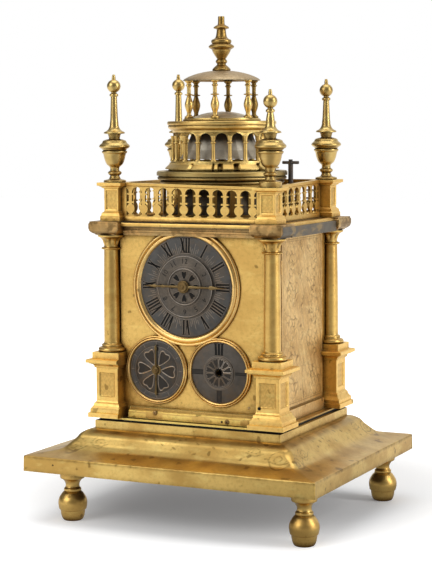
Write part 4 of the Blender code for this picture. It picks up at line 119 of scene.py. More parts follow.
BASE_PROFILE = (
    (-3.0, 62.9), (-3.0, 62.9), (0, 62.9), (0, 62.9), (0, 57.9), (0, 57.9), (2.6, 57.5), (4.7, 56.7),
    (8.0, 54.9), (10.0, 52.6), (12.2, 50.1), (14.3, 47.8), (16.9, 46.0), (20.4, 44.9), (25.2, 44.0),
    (30.0, 43.3), (34.0, 42.7), (35.0, 42.4), (35.3, 41.6), (35.3, 41.6), (35.3, 32.6), (35.3, 32.6),
    (33.9, 32.6), (33.9, 32.6), (33.9, 41.2), (33.9, 41.2), (20.0, 42.5), (16.0, 43.5), (13.0, 46.0),
    (9.0, 51.3), (6.0, 54.4), (0, 56.5), (-1.4, 56.7), (-1.4, 56.7), (-1.4, 61.5), (-1.4, 61.5), (-3.0, 61.5),
    (-3.0, 61.5),
)
PEDESTAL = (
    (4.2, 65.2), (4.2, 65.2), (4.2, 68.0), (4.2, 68.0), (3.1, 68.4), (3.1, 68.4), (3.1, 70.4), (3.1, 70.4),
    (2.6, 71.0), (1.9, 72.0), (1.5, 72.6), (1.5, 72.6), (1.2, 74.1), (1.2, 74.1), (0.5, 74.6), (0, 75.6),
    (0, 75.6), (0, 96.7), (0, 96.7), (0.9, 97.0), (0.9, 97.7), (0.9, 97.7), (1.4, 98.6), (2.4, 99.2),
    (3.5, 99.5), (3.5, 99.5), (3.5, 100.0), (3.5, 100.0), (4.8, 100.2), (5.0, 100.6), (5.0, 102.0),
    (5.0, 102.0), (4.4, 102.4), (2.6, 102.8), (1.8, 103.1), (1.8, 103.1), (1.8, 106.8), (1.8, 106.8),
)
ATTIC_POST = (
    (2.05, 190.3), (2.05, 190.3), (2.05, 193.0), (2.05, 193.0), (1.5, 193.7), (1.3, 195.1), (1.3, 195.1),
    (0.6, 195.7), (0, 196.4), (0, 196.4), (0, 210.6), (0, 210.6), (1.1, 211.1), (1.2, 211.6), (1.2, 211.6),
    (1.8, 211.8), (2.8, 212.4), (2.8, 212.4), (3.4, 212.6), (3.4, 214.4), (3.4, 214.4),
)


# Properties that a user would change

class ClockSizes(bpy.types.PropertyGroup):
    """Sizes of the scene's own detail"""

    segments: bpy.props.IntProperty(
        name="Turned segments", description="How many faces go round a turned piece", default=64, min=16,
        max=160,
    )
    relief: bpy.props.FloatProperty(
        name="Engraving depth", description="Depth of the engraving on the side doors", default=0.00016,
        unit="LENGTH", subtype="DISTANCE",
    )
    numeral_height: bpy.props.FloatProperty(
        name="Numeral height", description="Length of the hour numerals along the radius", default=0.0092,
        unit="LENGTH", subtype="DISTANCE",
    )


class ClockColours(bpy.types.PropertyGroup):
    """Base colours of the metals and the floor"""

    gilt: bpy.props.FloatVectorProperty(
        name="Gilding", description="Gilt brass of the front", subtype="COLOR", size=3, min=0, max=1,
        default=(0.80, 0.52, 0.155),
    )
    # Its lightness is partly painted light, raised for the lit right side panel.
    side: bpy.props.FloatVectorProperty(
        name="Side gilding", description="Paler, duller gilt brass of the side panels", subtype="COLOR", size=3,
        min=0, max=1, default=(0.78, 0.53, 0.225),
    )
    bezel: bpy.props.FloatVectorProperty(
        name="Bezel gold", description="Warm gold of the dial bezels", subtype="COLOR", size=3, min=0, max=1,
        default=(1.0, 0.65, 0.235),
    )
    dial: bpy.props.FloatVectorProperty(
        name="Dial metal", description="Dark grey metal of the dials", subtype="COLOR", size=3, min=0, max=1,
        default=(0.098, 0.094, 0.088),
    )
    bell: bpy.props.FloatVectorProperty(
        name="Bell metal", description="Grey bell metal", subtype="COLOR", size=3, min=0, max=1,
        default=(0.58, 0.54, 0.45),
    )
    iron: bpy.props.FloatVectorProperty(
        name="Iron", description="Dark iron and steel", subtype="COLOR", size=3, min=0, max=1,
        default=(0.10, 0.09, 0.085),
    )
    floor: bpy.props.FloatVectorProperty(
        name="Floor", description="Pale floor", subtype="COLOR", size=3, min=0, max=1,
        default=(0.80, 0.80, 0.80),
    )


# Shader maths

class Number:
    """A number on a shader socket. Sums and products of numbers become Math nodes."""

    def __init__(self, finish, socket):
        self.finish = finish
        self.socket = socket

    def __add__(self, other):
        return self.finish.math("ADD", self, other)

    def __radd__(self, other):
        return self.finish.math("ADD", other, self)

    def __sub__(self, other):
        return self.finish.math("SUBTRACT", self, other)

    def __rsub__(self, other):
        return self.finish.math("SUBTRACT", other, self)

    def __mul__(self, other):
        return self.finish.math("MULTIPLY", self, other)

    def __rmul__(self, other):
        return self.finish.math("MULTIPLY", other, self)

    def between(self, low, high):
        """0 below low, 1 above high, smooth between them."""
        settings = {"interpolation_type": "SMOOTHSTEP"}
        inputs = {"Value": self, "From Min": low, "From Max": high}
        return Number(self.finish, self.finish.node("ShaderNodeMapRange", settings, inputs).outputs[0])


class Finish:
    """The nodes of a material or a world. node() makes any node: settings first, then values or links."""

    def __init__(self, owner):
        self.owner = owner
        owner.use_nodes = True
        self.tree = owner.node_tree
        self.tree.nodes.clear()
        self.place = self.node("ShaderNodeTexCoord").outputs["Object"]

    def node(self, kind, settings=None, inputs=None):
        made = self.tree.nodes.new(kind)
        for key, value in (settings or {}).items():
            setattr(made, key, value)
        for key, value in (inputs or {}).items():
            value = getattr(value, "socket", value)
            if isinstance(value, bpy.types.NodeSocket):
                self.tree.links.new(value, made.inputs[key])
            else:
                made.inputs[key].default_value = value
        return made

    def math(self, operation, *values):
        made = self.node("ShaderNodeMath", {"operation": operation}, dict(enumerate(values)))
        return Number(self, made.outputs[0])

    def vector(self, operation, *values):
        """A Vector Math node: its vector, or a number for a dot product or a length."""
        made = self.node("ShaderNodeVectorMath", {"operation": operation}, dict(enumerate(values)))
        if operation in ("DOT_PRODUCT", "LENGTH"):
            return Number(self, made.outputs["Value"])
        return made.outputs["Vector"]

    def noise(self, scale, detail=4.0, roughness=0.55, stretch=None):
        place = self.place
        if stretch:
            place = self.node("ShaderNodeMapping", None, {"Vector": place, "Scale": stretch}).outputs[0]
        inputs = {"Vector": place, "Scale": scale, "Detail": detail, "Roughness": roughness}
        return Number(self, self.node("ShaderNodeTexNoise", None, inputs).outputs[0])

    def tint(self, factor, first, second, blend="MIX"):
        inputs = {0: factor, 6: first, 7: second}
        return self.node("ShaderNodeMix", {"data_type": "RGBA", "blend_type": blend}, inputs).outputs[2]

    def mixed(self, factor, first, second):
        """Two shaders mixed: first where factor is 0, second where it is 1."""
        return self.node("ShaderNodeMixShader", None, {0: factor, 1: first, 2: second}).outputs[0]

    def edges(self, width):
        """How far a bevelled normal leaves the true one: near 1 along edges."""
        soft = self.node("ShaderNodeBevel", {"samples": 4}, {"Radius": width}).outputs[0]
        true = self.node("ShaderNodeNewGeometry").outputs["Normal"]
        return 1.0 - self.vector("DOT_PRODUCT", soft, true)

    def crevices(self, reach):
        """1 where the surface is shut in by what is near it."""
        shade = self.node("ShaderNodeAmbientOcclusion", {"samples": 6}, {"Distance": reach})
        return 1.0 - Number(self, shade.outputs["AO"])

    def attribute(self, name):
        return Number(self, self.node("ShaderNodeAttribute", {"attribute_name": name}).outputs["Fac"])

    def done(self, colour, roughness, height, metallic=1.0, depth=0.00006):
        """Closes the material with one shader, whose surface is raised by height as deep as depth."""
        normal = self.node("ShaderNodeBump", None, {"Strength": 0.3, "Distance": depth, "Height": height})
        inputs = {"Base Color": colour, "Roughness": roughness, "Metallic": metallic}
        shader = self.node("ShaderNodeBsdfPrincipled", None, inputs | {"Normal": normal.outputs[0]})
        self.node("ShaderNodeOutputMaterial", None, {"Surface": shader.outputs[0]})
        return self.owner


def scaled(colour, share, warmth=1.0):
    """A colour made darker or lighter by share, with its blue moved by warmth, as four numbers."""
    red, green, blue = colour
    values = (red * share, green * share * (0.5 + 0.5 * warmth), blue * share * warmth)
    return tuple(min(value, 1.0) for value in values) + (1.0,)


def gilt_metal(name, colour, rough=0.30, shade_and_grime=0.9, patch=0.35, grain=1.0, etch_and_shade_strength=0.0, worn=1.0, stained=0.0,
               reach=0.006, highlight_flecks=0.0, pitted=0.70):
    """Fire gilt brass: cloudy tone, brown film with painted shade in the crevices and round raised parts, pale
    rubbed edges, fine pits and scratches, and, if asked, short pale strokes painted as highlights.
    """
    metal = Finish(bpy.data.materials.new(name))
    cloud = metal.noise(38.0, 3.0).between(0.38, 0.66)
    mottle = metal.noise(420.0, 5.0, 0.62)
    streaks = metal.noise(160.0, 3.0, 0.6, (1.0, 1.0, 0.12))
    pits = metal.noise(1300.0, 2.0, 0.5).between(0.70, 0.80)
    spots = metal.noise(150.0, 2.0, 0.4).between(pitted, pitted + 0.06)
    edge = metal.edges(0.0006).between(0.01, 0.22) * worn
    # Painted shade with some brown film: ambient occlusion within reach darkens crevices and the surface round
    # raised parts.
    crevice_shade_and_grime = (metal.crevices(reach) + mottle * 0.25).between(0.26, 0.80) * shade_and_grime
    body = metal.tint(cloud * patch, scaled(colour, 1.0), scaled(colour, 0.70, 0.72))
    body = metal.tint(mottle.between(0.45, 0.70) * 0.42, body, scaled(colour, 0.68, 0.85))
    rub = metal.noise(240.0, 4.0, 0.6, (0.35, 0.35, 1.0)).between(0.52, 0.72)
    body = metal.tint(rub * 0.35, body, scaled(colour, 1.15, 1.35))
    body = metal.tint(spots * 0.65, body, scaled(colour, 0.24, 0.7))
    body = metal.tint(pits * 0.6, body, scaled(colour, 0.30, 0.7))
    if stained:
        brass = metal.noise(130.0, 4.0, 0.6).between(0.48, 0.60)
        stain = metal.noise(85.0, 4.0, 0.65).between(0.49, 0.57)
        body = metal.tint(brass * 0.55, body, scaled(colour, 1.5, 0.80))
        body = metal.tint(stain * stained, body, scaled(colour, 0.36, 0.8))
    # The attribute read here darkens engraving, the base's darker bands, and the painted shade between the
    # capital leaves.
    if etch_and_shade_strength:
        cut = metal.attribute("etch_and_shade")
        body = metal.tint(cut * etch_and_shade_strength, body, scaled(colour, 0.30, 0.75))
    # Short pale vertical strokes: painted highlights, as of the engraving catching the light.
    if highlight_flecks:
        rubbed = metal.noise(1100.0, 3.0, 0.6, (0.9, 0.9, 0.28)).between(0.52, 0.66)
        body = metal.tint(rubbed * highlight_flecks, body, scaled(colour, 1.35, 0.95))
    # Darkened by the painted shade and brown film in the crevices.
    body = metal.tint(crevice_shade_and_grime, body, scaled(colour, 0.20, 0.55))
    body = metal.tint(edge * 0.75, body, scaled(colour, 1.18, 1.35))
    roughness = rough + mottle * 0.16 + cloud * 0.06 + crevice_shade_and_grime * 0.22 - edge * 0.08
    height = mottle * (0.5 * grain) + streaks * (0.35 * grain) - pits * 0.6 - spots * 0.3
    return metal.done(body, roughness, height)


def dark_metal(name, colour, rough=0.42, metallic=0.85, light=1.7, middle=None, remains=0.0):
    """Dark grey metal: blotched patina, pale edges, fine grain. Round the node named middle it is brown."""
    metal = Finish(bpy.data.materials.new(name))
    blotch = metal.noise(130.0, 4.0, 0.6).between(0.35, 0.70)
    grain = metal.noise(1500.0, 3.0, 0.6)
    brown = metal.noise(95.0, 5.0, 0.7).between(0.47, 0.60)
    fine = metal.noise(520.0, 4.0, 0.7).between(0.42, 0.66)
    edge = metal.edges(0.0004).between(0.02, 0.25)
    body = metal.tint(blotch, scaled(colour, 0.80), scaled(colour, 1.25))
    body = metal.tint(brown * 0.55, body, scaled(colour, 1.35, 0.62))
    if middle:
        moved = metal.vector("SUBTRACT", metal.place, tuple(middle_of(middle) * MM))
        reach = metal.vector("LENGTH", metal.vector("MULTIPLY", moved, (1, 0, 1)))
        rubbed = 1.0 - (reach + blotch * 0.006).between(0.016, 0.030)
        body = metal.tint(rubbed * 0.8, body, scaled(colour, 1.15, 0.70))
        body = metal.tint(rubbed * fine * 0.6, body, scaled(colour, 2.0, 0.68))
    if remains:
        gilding = metal.noise(95.0, 5.0, 0.6, (1.0, 0.6, 1.4)).between(0.53, 0.62)
        body = metal.tint(gilding * remains, body, (0.34, 0.24, 0.11, 1))
    body = metal.tint(edge * 0.6, body, scaled(colour, light))
    return metal.done(body, rough + blotch * 0.14 + grain * 0.08, grain + blotch * 0.5, metallic=metallic)


def bell_metal(name, colour):
    """Grey bell metal: turning lines round it, darker spots, dull polish, painted shade in its crevices and
    painted shadow of the drum's arches over its top.
    """
    metal = Finish(bpy.data.materials.new(name))
    rings = metal.noise(700.0, 2.0, 0.5, (0.05, 0.05, 1.0))
    blotch = metal.noise(110.0, 5.0, 0.6).between(0.40, 0.70)
    body = metal.tint(blotch * 0.5, scaled(colour, 1.0), scaled(colour, 0.62, 0.92))
    body = metal.tint(rings.between(0.55, 0.75) * 0.3, body, scaled(colour, 0.75))
    # Painted shade in the bell's crevices.
    body = metal.tint(metal.crevices(0.014).between(0.45, 0.85) * 0.9, body, scaled(colour, 0.12, 0.6))
    # Painted shadow of the drum's arches: darker above 0.24 m.
    height = metal.node("ShaderNodeSeparateXYZ", None, {0: metal.place}).outputs["Z"]
    arch_shadow = (Number(metal, height) + blotch * 0.0012).between(0.2385, 0.2415)
    body = metal.tint(arch_shadow * 0.85, body, scaled(colour, 0.10, 0.6))
    return metal.done(body, 0.48 + rings * 0.12 + blotch * 0.10, rings + blotch * 0.3)


def plain_brass(name, colour, rough=0.36):
    """Unpolished brass of the movement: file marks and a light brown film."""
    metal = Finish(bpy.data.materials.new(name))
    marks = metal.noise(900.0, 3.0, 0.6, (1.0, 0.2, 0.2))
    film = metal.noise(90.0, 4.0).between(0.4, 0.7)
    edge = metal.edges(0.0004).between(0.02, 0.25)
    body = metal.tint(film * 0.5, scaled(colour, 0.9), scaled(colour, 0.55, 0.7))
    body = metal.tint(edge * 0.5, body, scaled(colour, 1.15, 1.2))
    return metal.done(body, rough + film * 0.15, marks)


def board_wood(name, dark):
    """Old dark board: long grain along X, worn paler along the edges."""
    wood = Finish(bpy.data.materials.new(name))
    grain = wood.noise(90.0, 5.0, 0.65, (0.12, 1.0, 1.0))
    edge = wood.edges(0.0008).between(0.02, 0.3)
    body = wood.tint(grain.between(0.3, 0.7), (*dark, 1), (0.11, 0.060, 0.030, 1))
    body = wood.tint(edge * 0.5, body, (0.17, 0.10, 0.055, 1))
    return wood.done(body, 0.55 + grain * 0.2, grain, metallic=0.0, depth=0.0001)


# Surfaces

def ridge(distance, width):
    """1 at distance 0 and falling off on both sides: e to the minus square of distance over width."""
    return np.exp(-((distance / width) ** 2))


def curved(points, steps=5):
    """Smooth curve through points, by Catmull-Rom cubics. A point given twice in a row is a corner."""
    points = np.asarray(points, float)
    same = np.all(np.abs(np.diff(points, axis=0)) < 1e-9, axis=1)
    runs = np.split(points, np.flatnonzero(same) + 1)
    made = []
    for run in runs:
        if len(run) < 3:
            made.append(run)
            continue
        held = np.concatenate([run[:1], run, run[-1:]])
        a, b, c, d = held[:-3, None], held[1:-2, None], held[2:-1, None], held[3:, None]
        t = np.linspace(0, 1, steps, endpoint=False)[None, :, None]
        cubed = (3 * b - a - 3 * c + d) * t**3
        curve = 0.5 * (2 * b + (c - a) * t + (2 * a - 5 * b + 4 * c - d) * t**2 + cubed)
        made.append(np.concatenate([curve.reshape(-1, points.shape[1]), run[-1:]]))
    return np.concatenate(made)


def skin(grid, ring=False, etch_and_shade=None):
    """Triangles over a grid of points whose last column joins its first, and with ring its last row too."""
    rows, columns = grid.shape[:2]
    index = np.arange(rows * columns).reshape(rows, columns)
    index = np.concatenate([index, index[:, :1]], axis=1)
    if ring:
        index = np.concatenate([index, index[:1]], axis=0)
    quads = np.stack([index[:-1, :-1], index[:-1, 1:], index[1:, 1:], index[1:, :-1]], axis=-1).reshape(-1, 4)
    triangles = np.concatenate([quads[:, [0, 1, 2]], quads[:, [0, 2, 3]]])
    etch_and_shade = np.zeros(rows * columns) if etch_and_shade is None else etch_and_shade.reshape(-1)
    return grid.reshape(-1, 3), triangles, etch_and_shade


def capped(grid):
    """The grid with one more row at each end, drawn together to the end row's middle."""
    ends = [np.repeat(row.mean(axis=1, keepdims=True), grid.shape[1], axis=1) for row in (grid[:1], grid[-1:])]
    return np.concatenate([ends[0], grid, ends[1]])


def clipped(part, low, high):
    """The part held within the box from low to high."""
    return np.clip(part[0], low, high), part[1], part[2]


def gathered(parts):
    """Several parts as one."""
    starts = np.cumsum([0] + [len(part[0]) for part in parts[:-1]])
    triangles = [part[1] + start for part, start in zip(parts, starts)]
    points, etch_and_shade = (np.concatenate([part[place] for part in parts]) for place in (0, 2))
    return points, np.concatenate(triangles), etch_and_shade


def placed(part, shift=(0, 0, 0), turn=0.0):
    """The part turned about the Z axis by an angle, then shifted."""
    cosine, sine = math.cos(turn), math.sin(turn)
    rotation = np.array([[cosine, sine, 0], [-sine, cosine, 0], [0, 0, 1]])
    return part[0] @ rotation + np.asarray(shift, float), part[1], part[2]


def doubled(part, distance, turn=0.0):
    """The part moved to the front by distance and once more, turned about, to the back, then both turned."""
    front, back = placed(part, (0, -distance, 0)), placed(part, (0, distance, 0), math.pi)
    return placed(gathered([front, back]), turn=turn)


def facing_front(part, shift=(0, 0, 0)):
    """The part tipped so that its height points to the front, -Y, and its own y points up, then shifted."""
    x, y, z = part[0].T
    return np.stack([x, -z, y], axis=-1) + np.asarray(shift, float), part[1], part[2]


def bent(part, radius):
    """The part wrapped round the Z axis: x becomes an arc at radius, and the front, -Y, becomes outward."""
    x, y, z = part[0].T
    angle, distance = x / radius, radius - y
    return np.stack([distance * np.sin(angle), -distance * np.cos(angle), z], axis=-1), part[1], part[2]


def turned(profile, segments=None, ring=False, lobes=None, turn=0.0, painted_shade=None):
    """Surface of revolution: x = r cos a, y = r sin a, z as in the profile. lobes(a, z) is added to r."""
    profile = np.asarray(profile, float)
    segments = segments or bpy.context.scene.clock_sizes.segments
    angles = np.linspace(0, FULL_TURN, segments, endpoint=False)[None, :] + turn
    radius = np.repeat(profile[:, :1], segments, axis=1)
    height = np.repeat(profile[:, 1:2], segments, axis=1)
    if lobes:
        radius = np.where(radius > 0, radius + lobes(angles, height), 0)
    etch_and_shade = np.array(np.broadcast_to(painted_shade(angles, height), height.shape)) if painted_shade else None
    return skin(np.stack([radius * np.cos(angles), radius * np.sin(angles), height], axis=-1), ring, etch_and_shade)


def ring_template(side_steps, arc_steps):
    """Unit plan of a rounded rectangle: a point is k (half - corner) + u corner, and u points outward."""
    along = np.linspace(-1, 1, side_steps + 1)
    arc = np.linspace(0, math.pi / 2, arc_steps + 1)[1:-1]
    factors, outward, sides = [], [], []
    for side in range(4):
        angle = side * math.pi / 2 - math.pi / 2
        out = np.array([math.cos(angle), math.sin(angle)])
        tangent = np.array([-out[1], out[0]])
        factors.append(along[:, None] * tangent + out)
        outward.append(np.repeat(out[None], len(along), axis=0))
        corner = angle + arc
        factors.append(np.repeat((tangent + out)[None], len(arc), axis=0))
        outward.append(np.stack([np.cos(corner), np.sin(corner)], axis=-1))
        sides.append(np.concatenate([np.full(len(along), side), np.full(len(arc), -1)]))
    return np.concatenate(factors), np.concatenate(outward), np.concatenate(sides)


def framed(profile, half_x, half_y, corner, side_steps, arc_steps, out=(1.0, 1.0), relief=None, ring=False):
    """A profile of offset and height round a rounded rectangle. relief(side, along, z) pushes it outward."""
    profile = np.asarray(profile, float)
    factors, outward, sides = ring_template(side_steps, arc_steps)
    half = np.stack([half_x + profile[:, 0] * out[0], half_y + profile[:, 0] * out[1]], axis=-1)[:, None, :]
    plan = factors[None] * (half - corner) + outward[None] * corner
    height = np.repeat(profile[:, 1:2], len(factors), axis=1)
    etch_and_shade = np.zeros(height.shape)
    if relief is not None:
        along = plan[..., 1] * outward[None, :, 0] - plan[..., 0] * outward[None, :, 1]
        push, etch_and_shade = relief(np.broadcast_to(sides, height.shape), along, height)
        plan = plan + outward[None] * push[..., None]
    grid = np.concatenate([plan, height[..., None]], axis=-1)
    if not ring:
        low, high = grid[:1] * [0, 0, 1], grid[-1:] * [0, 0, 1]
        grid = np.concatenate([low, grid, high])
        etch_and_shade = np.concatenate([etch_and_shade[:1], etch_and_shade, etch_and_shade[-1:]])
    return skin(grid, ring, etch_and_shade)


def beam(section, start, stop, steps=1):
    """A section of y and z carried along X from start to stop, with closed ends."""
    section = np.asarray(section, float)
    x = np.linspace(start, stop, steps + 1)
    return skin(capped(np.stack([np.column_stack([np.full(len(section), value), section]) for value in x])))


def pier(half_widths, heights, front, back):
    """A flat upright: a rectangle from front to back whose half width changes with the height."""
    x = np.asarray(half_widths, float)[:, None] * np.array([[-1, 1, 1, -1]])
    y = np.broadcast_to(np.array([[front, front, back, back]], float), x.shape)
    z = np.repeat(np.asarray(heights, float)[:, None], 4, axis=1)
    return skin(capped(np.stack([x, y, z], axis=-1)))


def arch_half_width(half_pitch, half_opening, spring, heights):
    """Half width of the wall between round arches: half pitch less the opening's half width at a height."""
    rise = np.clip(np.asarray(heights, float) - spring, 0, half_opening)
    return half_pitch - np.sqrt(np.maximum(half_opening**2 - rise**2, 0))


def wire(path, width, height, lift):
    """A low rounded line along a closed plane path: its section is a half round of that width and height."""
    path = np.asarray(path, float)
    tangent = np.roll(path, -1, axis=0) - np.roll(path, 1, axis=0)
    tangent /= np.maximum(np.linalg.norm(tangent, axis=1, keepdims=True), 1e-9)
    side = np.stack([tangent[:, 1], -tangent[:, 0]], axis=-1)
    section = np.array([[-1, -0.4], [1, -0.4], [0.85, 0.55], [0, 1], [-0.85, 0.55]])
    across = side[:, None] * section[None, :, :1] * width / 2
    level = np.broadcast_to(lift + section[None, :, 1:] * height, across.shape[:2] + (1,))
    grid = np.concatenate([path[:, None] + across, level], axis=-1)
    return skin(grid[:, ::-1], ring=True)


def slab(outline, low, high):
    """A flat piece with that outline, seen from above and star shaped, between two heights."""
    outline = np.asarray(outline, float)
    middle = outline.mean(axis=0)
    rows = []
    for share, level in ((0.0, low), (1.0, low), (1.0, high), (0.0, high)):
        flat = middle + (outline - middle) * share
        rows.append(np.column_stack([flat, np.full(len(flat), level)]))
    return skin(np.stack(rows))


def bars(strokes, low, high):
    """Straight flat bars, each given by its two ends and its width."""
    parts = []
    for x0, y0, x1, y1, width in strokes:
        along = np.array([x1 - x0, y1 - y0], float)
        side = np.array([along[1], -along[0]]) / max(np.linalg.norm(along), 1e-9) * width / 2
        start, stop = np.array([x0, y0]), np.array([x1, y1])
        parts.append(slab([start - side, stop - side, stop + side, start + side], low, high))
    return gathered(parts)


def welded(part):
    """Points nearer than a micrometre become one, and triangles left without area go."""
    points, triangles, etch_and_shade = part
    micrometres = np.round(points * 1000).astype(np.int64)
    _, first, index = np.unique(micrometres, axis=0, return_index=True, return_inverse=True)
    triangles = index.reshape(-1)[triangles]
    a, b, c = triangles.T
    return points[first], triangles[(a != b) & (b != c) & (c != a)], etch_and_shade[first]


def piece(name, part, finish, body="case", stands_for=()):
    """Makes the mesh object of a part, with the finish of that name, and says what it rides and stands for."""
    points, triangles, etch_and_shade = welded(part)
    mesh = bpy.data.meshes.new(name)
    mesh.vertices.add(len(points))
    mesh.vertices.foreach_set("co", (points * MM).astype(np.float32).ravel())
    mesh.loops.add(len(triangles) * 3)
    mesh.loops.foreach_set("vertex_index", triangles.astype(np.int32).ravel())
    mesh.polygons.add(len(triangles))
    mesh.polygons.foreach_set("loop_start", np.arange(0, len(triangles) * 3, 3, dtype=np.int32))
    mesh.update(calc_edges=True)
    mesh.validate()
    mesh.polygons.foreach_set("use_smooth", np.ones(len(mesh.polygons), bool))
    mesh.set_sharp_from_angle(angle=CREASE)
    mesh.attributes.new("etch_and_shade", "FLOAT", "POINT").data.foreach_set("value", etch_and_shade.astype(np.float32))
    mesh.materials.append(finish_named(finish))
    made = bpy.data.objects.new(name, mesh)
    bpy.context.scene.collection.objects.link(made)
    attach(made, body)
    if stands_for:
        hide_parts(*stands_for)


def span(node):
    """Lowest and highest corner of a CAD node in millimetres."""
    low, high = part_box(node)
    return np.array(low) / MM, np.array(high) / MM


def middle_of(node):
    """The middle of a CAD node's box in millimetres."""
    low, high = span(node)
    return (low + high) / 2


def dressed(node, finish):
    """A CAD node that stays gets the finish of that name in its material slots."""
    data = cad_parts[node].data
    data.materials.clear()
    data.materials.append(finish_named(finish))


# Finishes by name: maker, colour or its name among the clock's colours, share, warmth, the maker's settings
FINISHES = {
    "gilt": (gilt_metal, "gilt", 1.0, 1.0, {}),
    # The columns read the attribute only for the painted shade between their capital leaves.
    "gilt_column": (gilt_metal, "gilt", 0.94, 1.0,
                    dict(rough=0.25, shade_and_grime=1.1, patch=0.6, grain=0.3, etch_and_shade_strength=1.0)),
    # A lighter copy of the gilt: painted light, so that the skirt and the floor plate's edge look as lit as the
    # front plate.
    "gilt_skirt": (gilt_metal, "gilt", 1.4, 1.0, dict(rough=0.42, shade_and_grime=0.6, patch=0.3, pitted=0.64)),
    "gilt_turned": (gilt_metal, "gilt", 0.94, 1.0, dict(rough=0.26, shade_and_grime=1.0, patch=0.5, grain=0.3)),
    # The plate's wide reach paints shade round the bezels and columns.
    "gilt_plate": (gilt_metal, "gilt", 1.04, 1.0, dict(rough=0.30, shade_and_grime=0.95, patch=0.45, reach=0.014)),
    "gilt_tower": (gilt_metal, (0.80, 0.56, 0.19), 1.0, 1.0,
                   dict(rough=0.27, shade_and_grime=1.5, patch=0.6, grain=0.5)),
    "gilt_base": (gilt_metal, "gilt", 0.92, 1.1,
                  dict(rough=0.25, patch=0.8, etch_and_shade_strength=0.85, worn=0.35, pitted=0.66)),
    "gilt_etched": (gilt_metal, "gilt", 1.2, 1.0,
                    dict(rough=0.33, shade_and_grime=0.85, patch=0.3, etch_and_shade_strength=0.6, pitted=0.67)),
    "gilt_side": (gilt_metal, "side", 1.0, 1.0,
                  dict(rough=0.36, patch=0.6, grain=1.2, etch_and_shade_strength=1.0, highlight_flecks=0.42)),
    "gilt_worn": (gilt_metal, "side", 0.62, 0.95, dict(rough=0.36, patch=0.8, worn=0.8, stained=0.75)),
    "gilt_shade": (gilt_metal, "gilt", 0.40, 0.95, dict(rough=0.34, shade_and_grime=1.4, patch=0.7)),
    "gilt_finial": (gilt_metal, (0.64, 0.46, 0.165), 1.0, 1.0,
                    dict(rough=0.23, shade_and_grime=1.3, patch=0.7, grain=0.4)),
    "finial_brown": (gilt_metal, "gilt", 0.52, 0.95, dict(rough=0.27, patch=0.7, grain=0.4)),
    "roof_dull": (gilt_metal, (0.47, 0.36, 0.215), 1.0, 1.0, dict(rough=0.44, patch=0.5, grain=1.4)),
    "dome_grey": (gilt_metal, (0.98, 0.89, 0.69), 1.0, 1.0,
                  dict(rough=0.42, shade_and_grime=0.25, patch=0.5, grain=1.2)),
    "cornice_dull": (gilt_metal, (0.46, 0.33, 0.12), 1.0, 1.0,
                     dict(rough=0.30, shade_and_grime=1.8, patch=0.7, grain=0.6)),
    "bezel_gold": (gilt_metal, "bezel", 1.0, 1.0, dict(rough=0.16, shade_and_grime=0.7, patch=0.25, grain=0.5)),
    "hand_brass": (gilt_metal, "side", 0.28, 1.0, dict(rough=0.32, patch=0.6)),
    "wheel_brass": (plain_brass, "gilt", 0.8, 1.0, {}),
    "dial_dark": (dark_metal, "dial", 1.0, 1.0, dict(middle="hour_dial")),
    "dial_grey": (dark_metal, "dial", 0.95, 0.90, {}),
    "dial_shade": (dark_metal, "dial", 0.55, 0.85, dict(rough=0.5)),
    "dial_lines": (dark_metal, "dial", 0.20, 1.0, dict(rough=0.5)),
    "dial_edges": (dark_metal, "dial", 2.25, 0.72, dict(rough=0.4)),
    "dial_bright": (dark_metal, "dial", 4.8, 0.85, dict(rough=0.28)),
    "dial_relief": (dark_metal, "dial", 4.6, 0.78, dict(rough=0.30)),
    "dial_brown": (dark_metal, "dial", 1.15, 0.82, dict(rough=0.42)),
    "iron": (dark_metal, "iron", 1.0, 1.0, dict(rough=0.40)),
    "steel": (dark_metal, "iron", 2.6, 1.0, dict(rough=0.32)),
    "bare_edge": (dark_metal, (0.15, 0.13, 0.10), 1.0, 1.0,
                  dict(rough=0.46, metallic=0.7, light=2.4, remains=0.8)),
    "bell_metal": (bell_metal, "bell", 1.0, 1.0, {}),
    "bell_dark": (bell_metal, "bell", 0.30, 0.75, {}),
    "board": (board_wood, (0.035, 0.020, 0.012), 1.0, 1.0, {}),
}


def finish_named(name):
    """A finish by name, made when it is first asked for."""
    if name in bpy.data.materials:
        return bpy.data.materials[name]
    maker, colour, share, warmth, settings = FINISHES[name]
    if isinstance(colour, str):
        colour = getattr(bpy.context.scene.clock_colours, colour)
    return maker(name, scaled(colour, share, warmth)[:3], **settings)


# Pieces

def make_feet():
    """Four turned feet, each on the axis of its node."""
    profile = curved(FOOT)
    for corner in CORNERS:
        node = f"foot_{corner}"
        x, y, _ = middle_of(node)
        piece(f"{node}_turned", placed(turned(profile), (x, y, 0)), "gilt_turned", stands_for=[node])


def make_columns():
    """Four turned columns, with leaves round their capitals and painted shade between them."""
    profile = curved(COLUMN)

    def swell(height):
        """0 at both ends of the capital and 1 half way up: the sine of half a turn over its rise."""
        return np.sin(math.pi * np.clip((height - CAPITAL_FOOT) / CAPITAL_RISE, 0, 1))

    def leaves(angle, height):
        """Leaves of the capital: a cosine of eight lobes, strongest half way up."""
        return swell(height) * (0.75 * np.abs(np.cos(4 * angle)) - 0.4)

    def between_leaves(angle, height):
        """Painted shade in the grooves between the leaves."""
        return swell(height) * (1 - np.abs(np.cos(4 * angle))) ** 1.5

    for corner in CORNERS:
        node = f"column_{corner}"
        x, y, _ = middle_of(node)
        part = placed(turned(profile, lobes=leaves, painted_shade=between_leaves), (x, y, 0))
        piece(f"{node}_turned", part, "gilt_column", stands_for=[node])


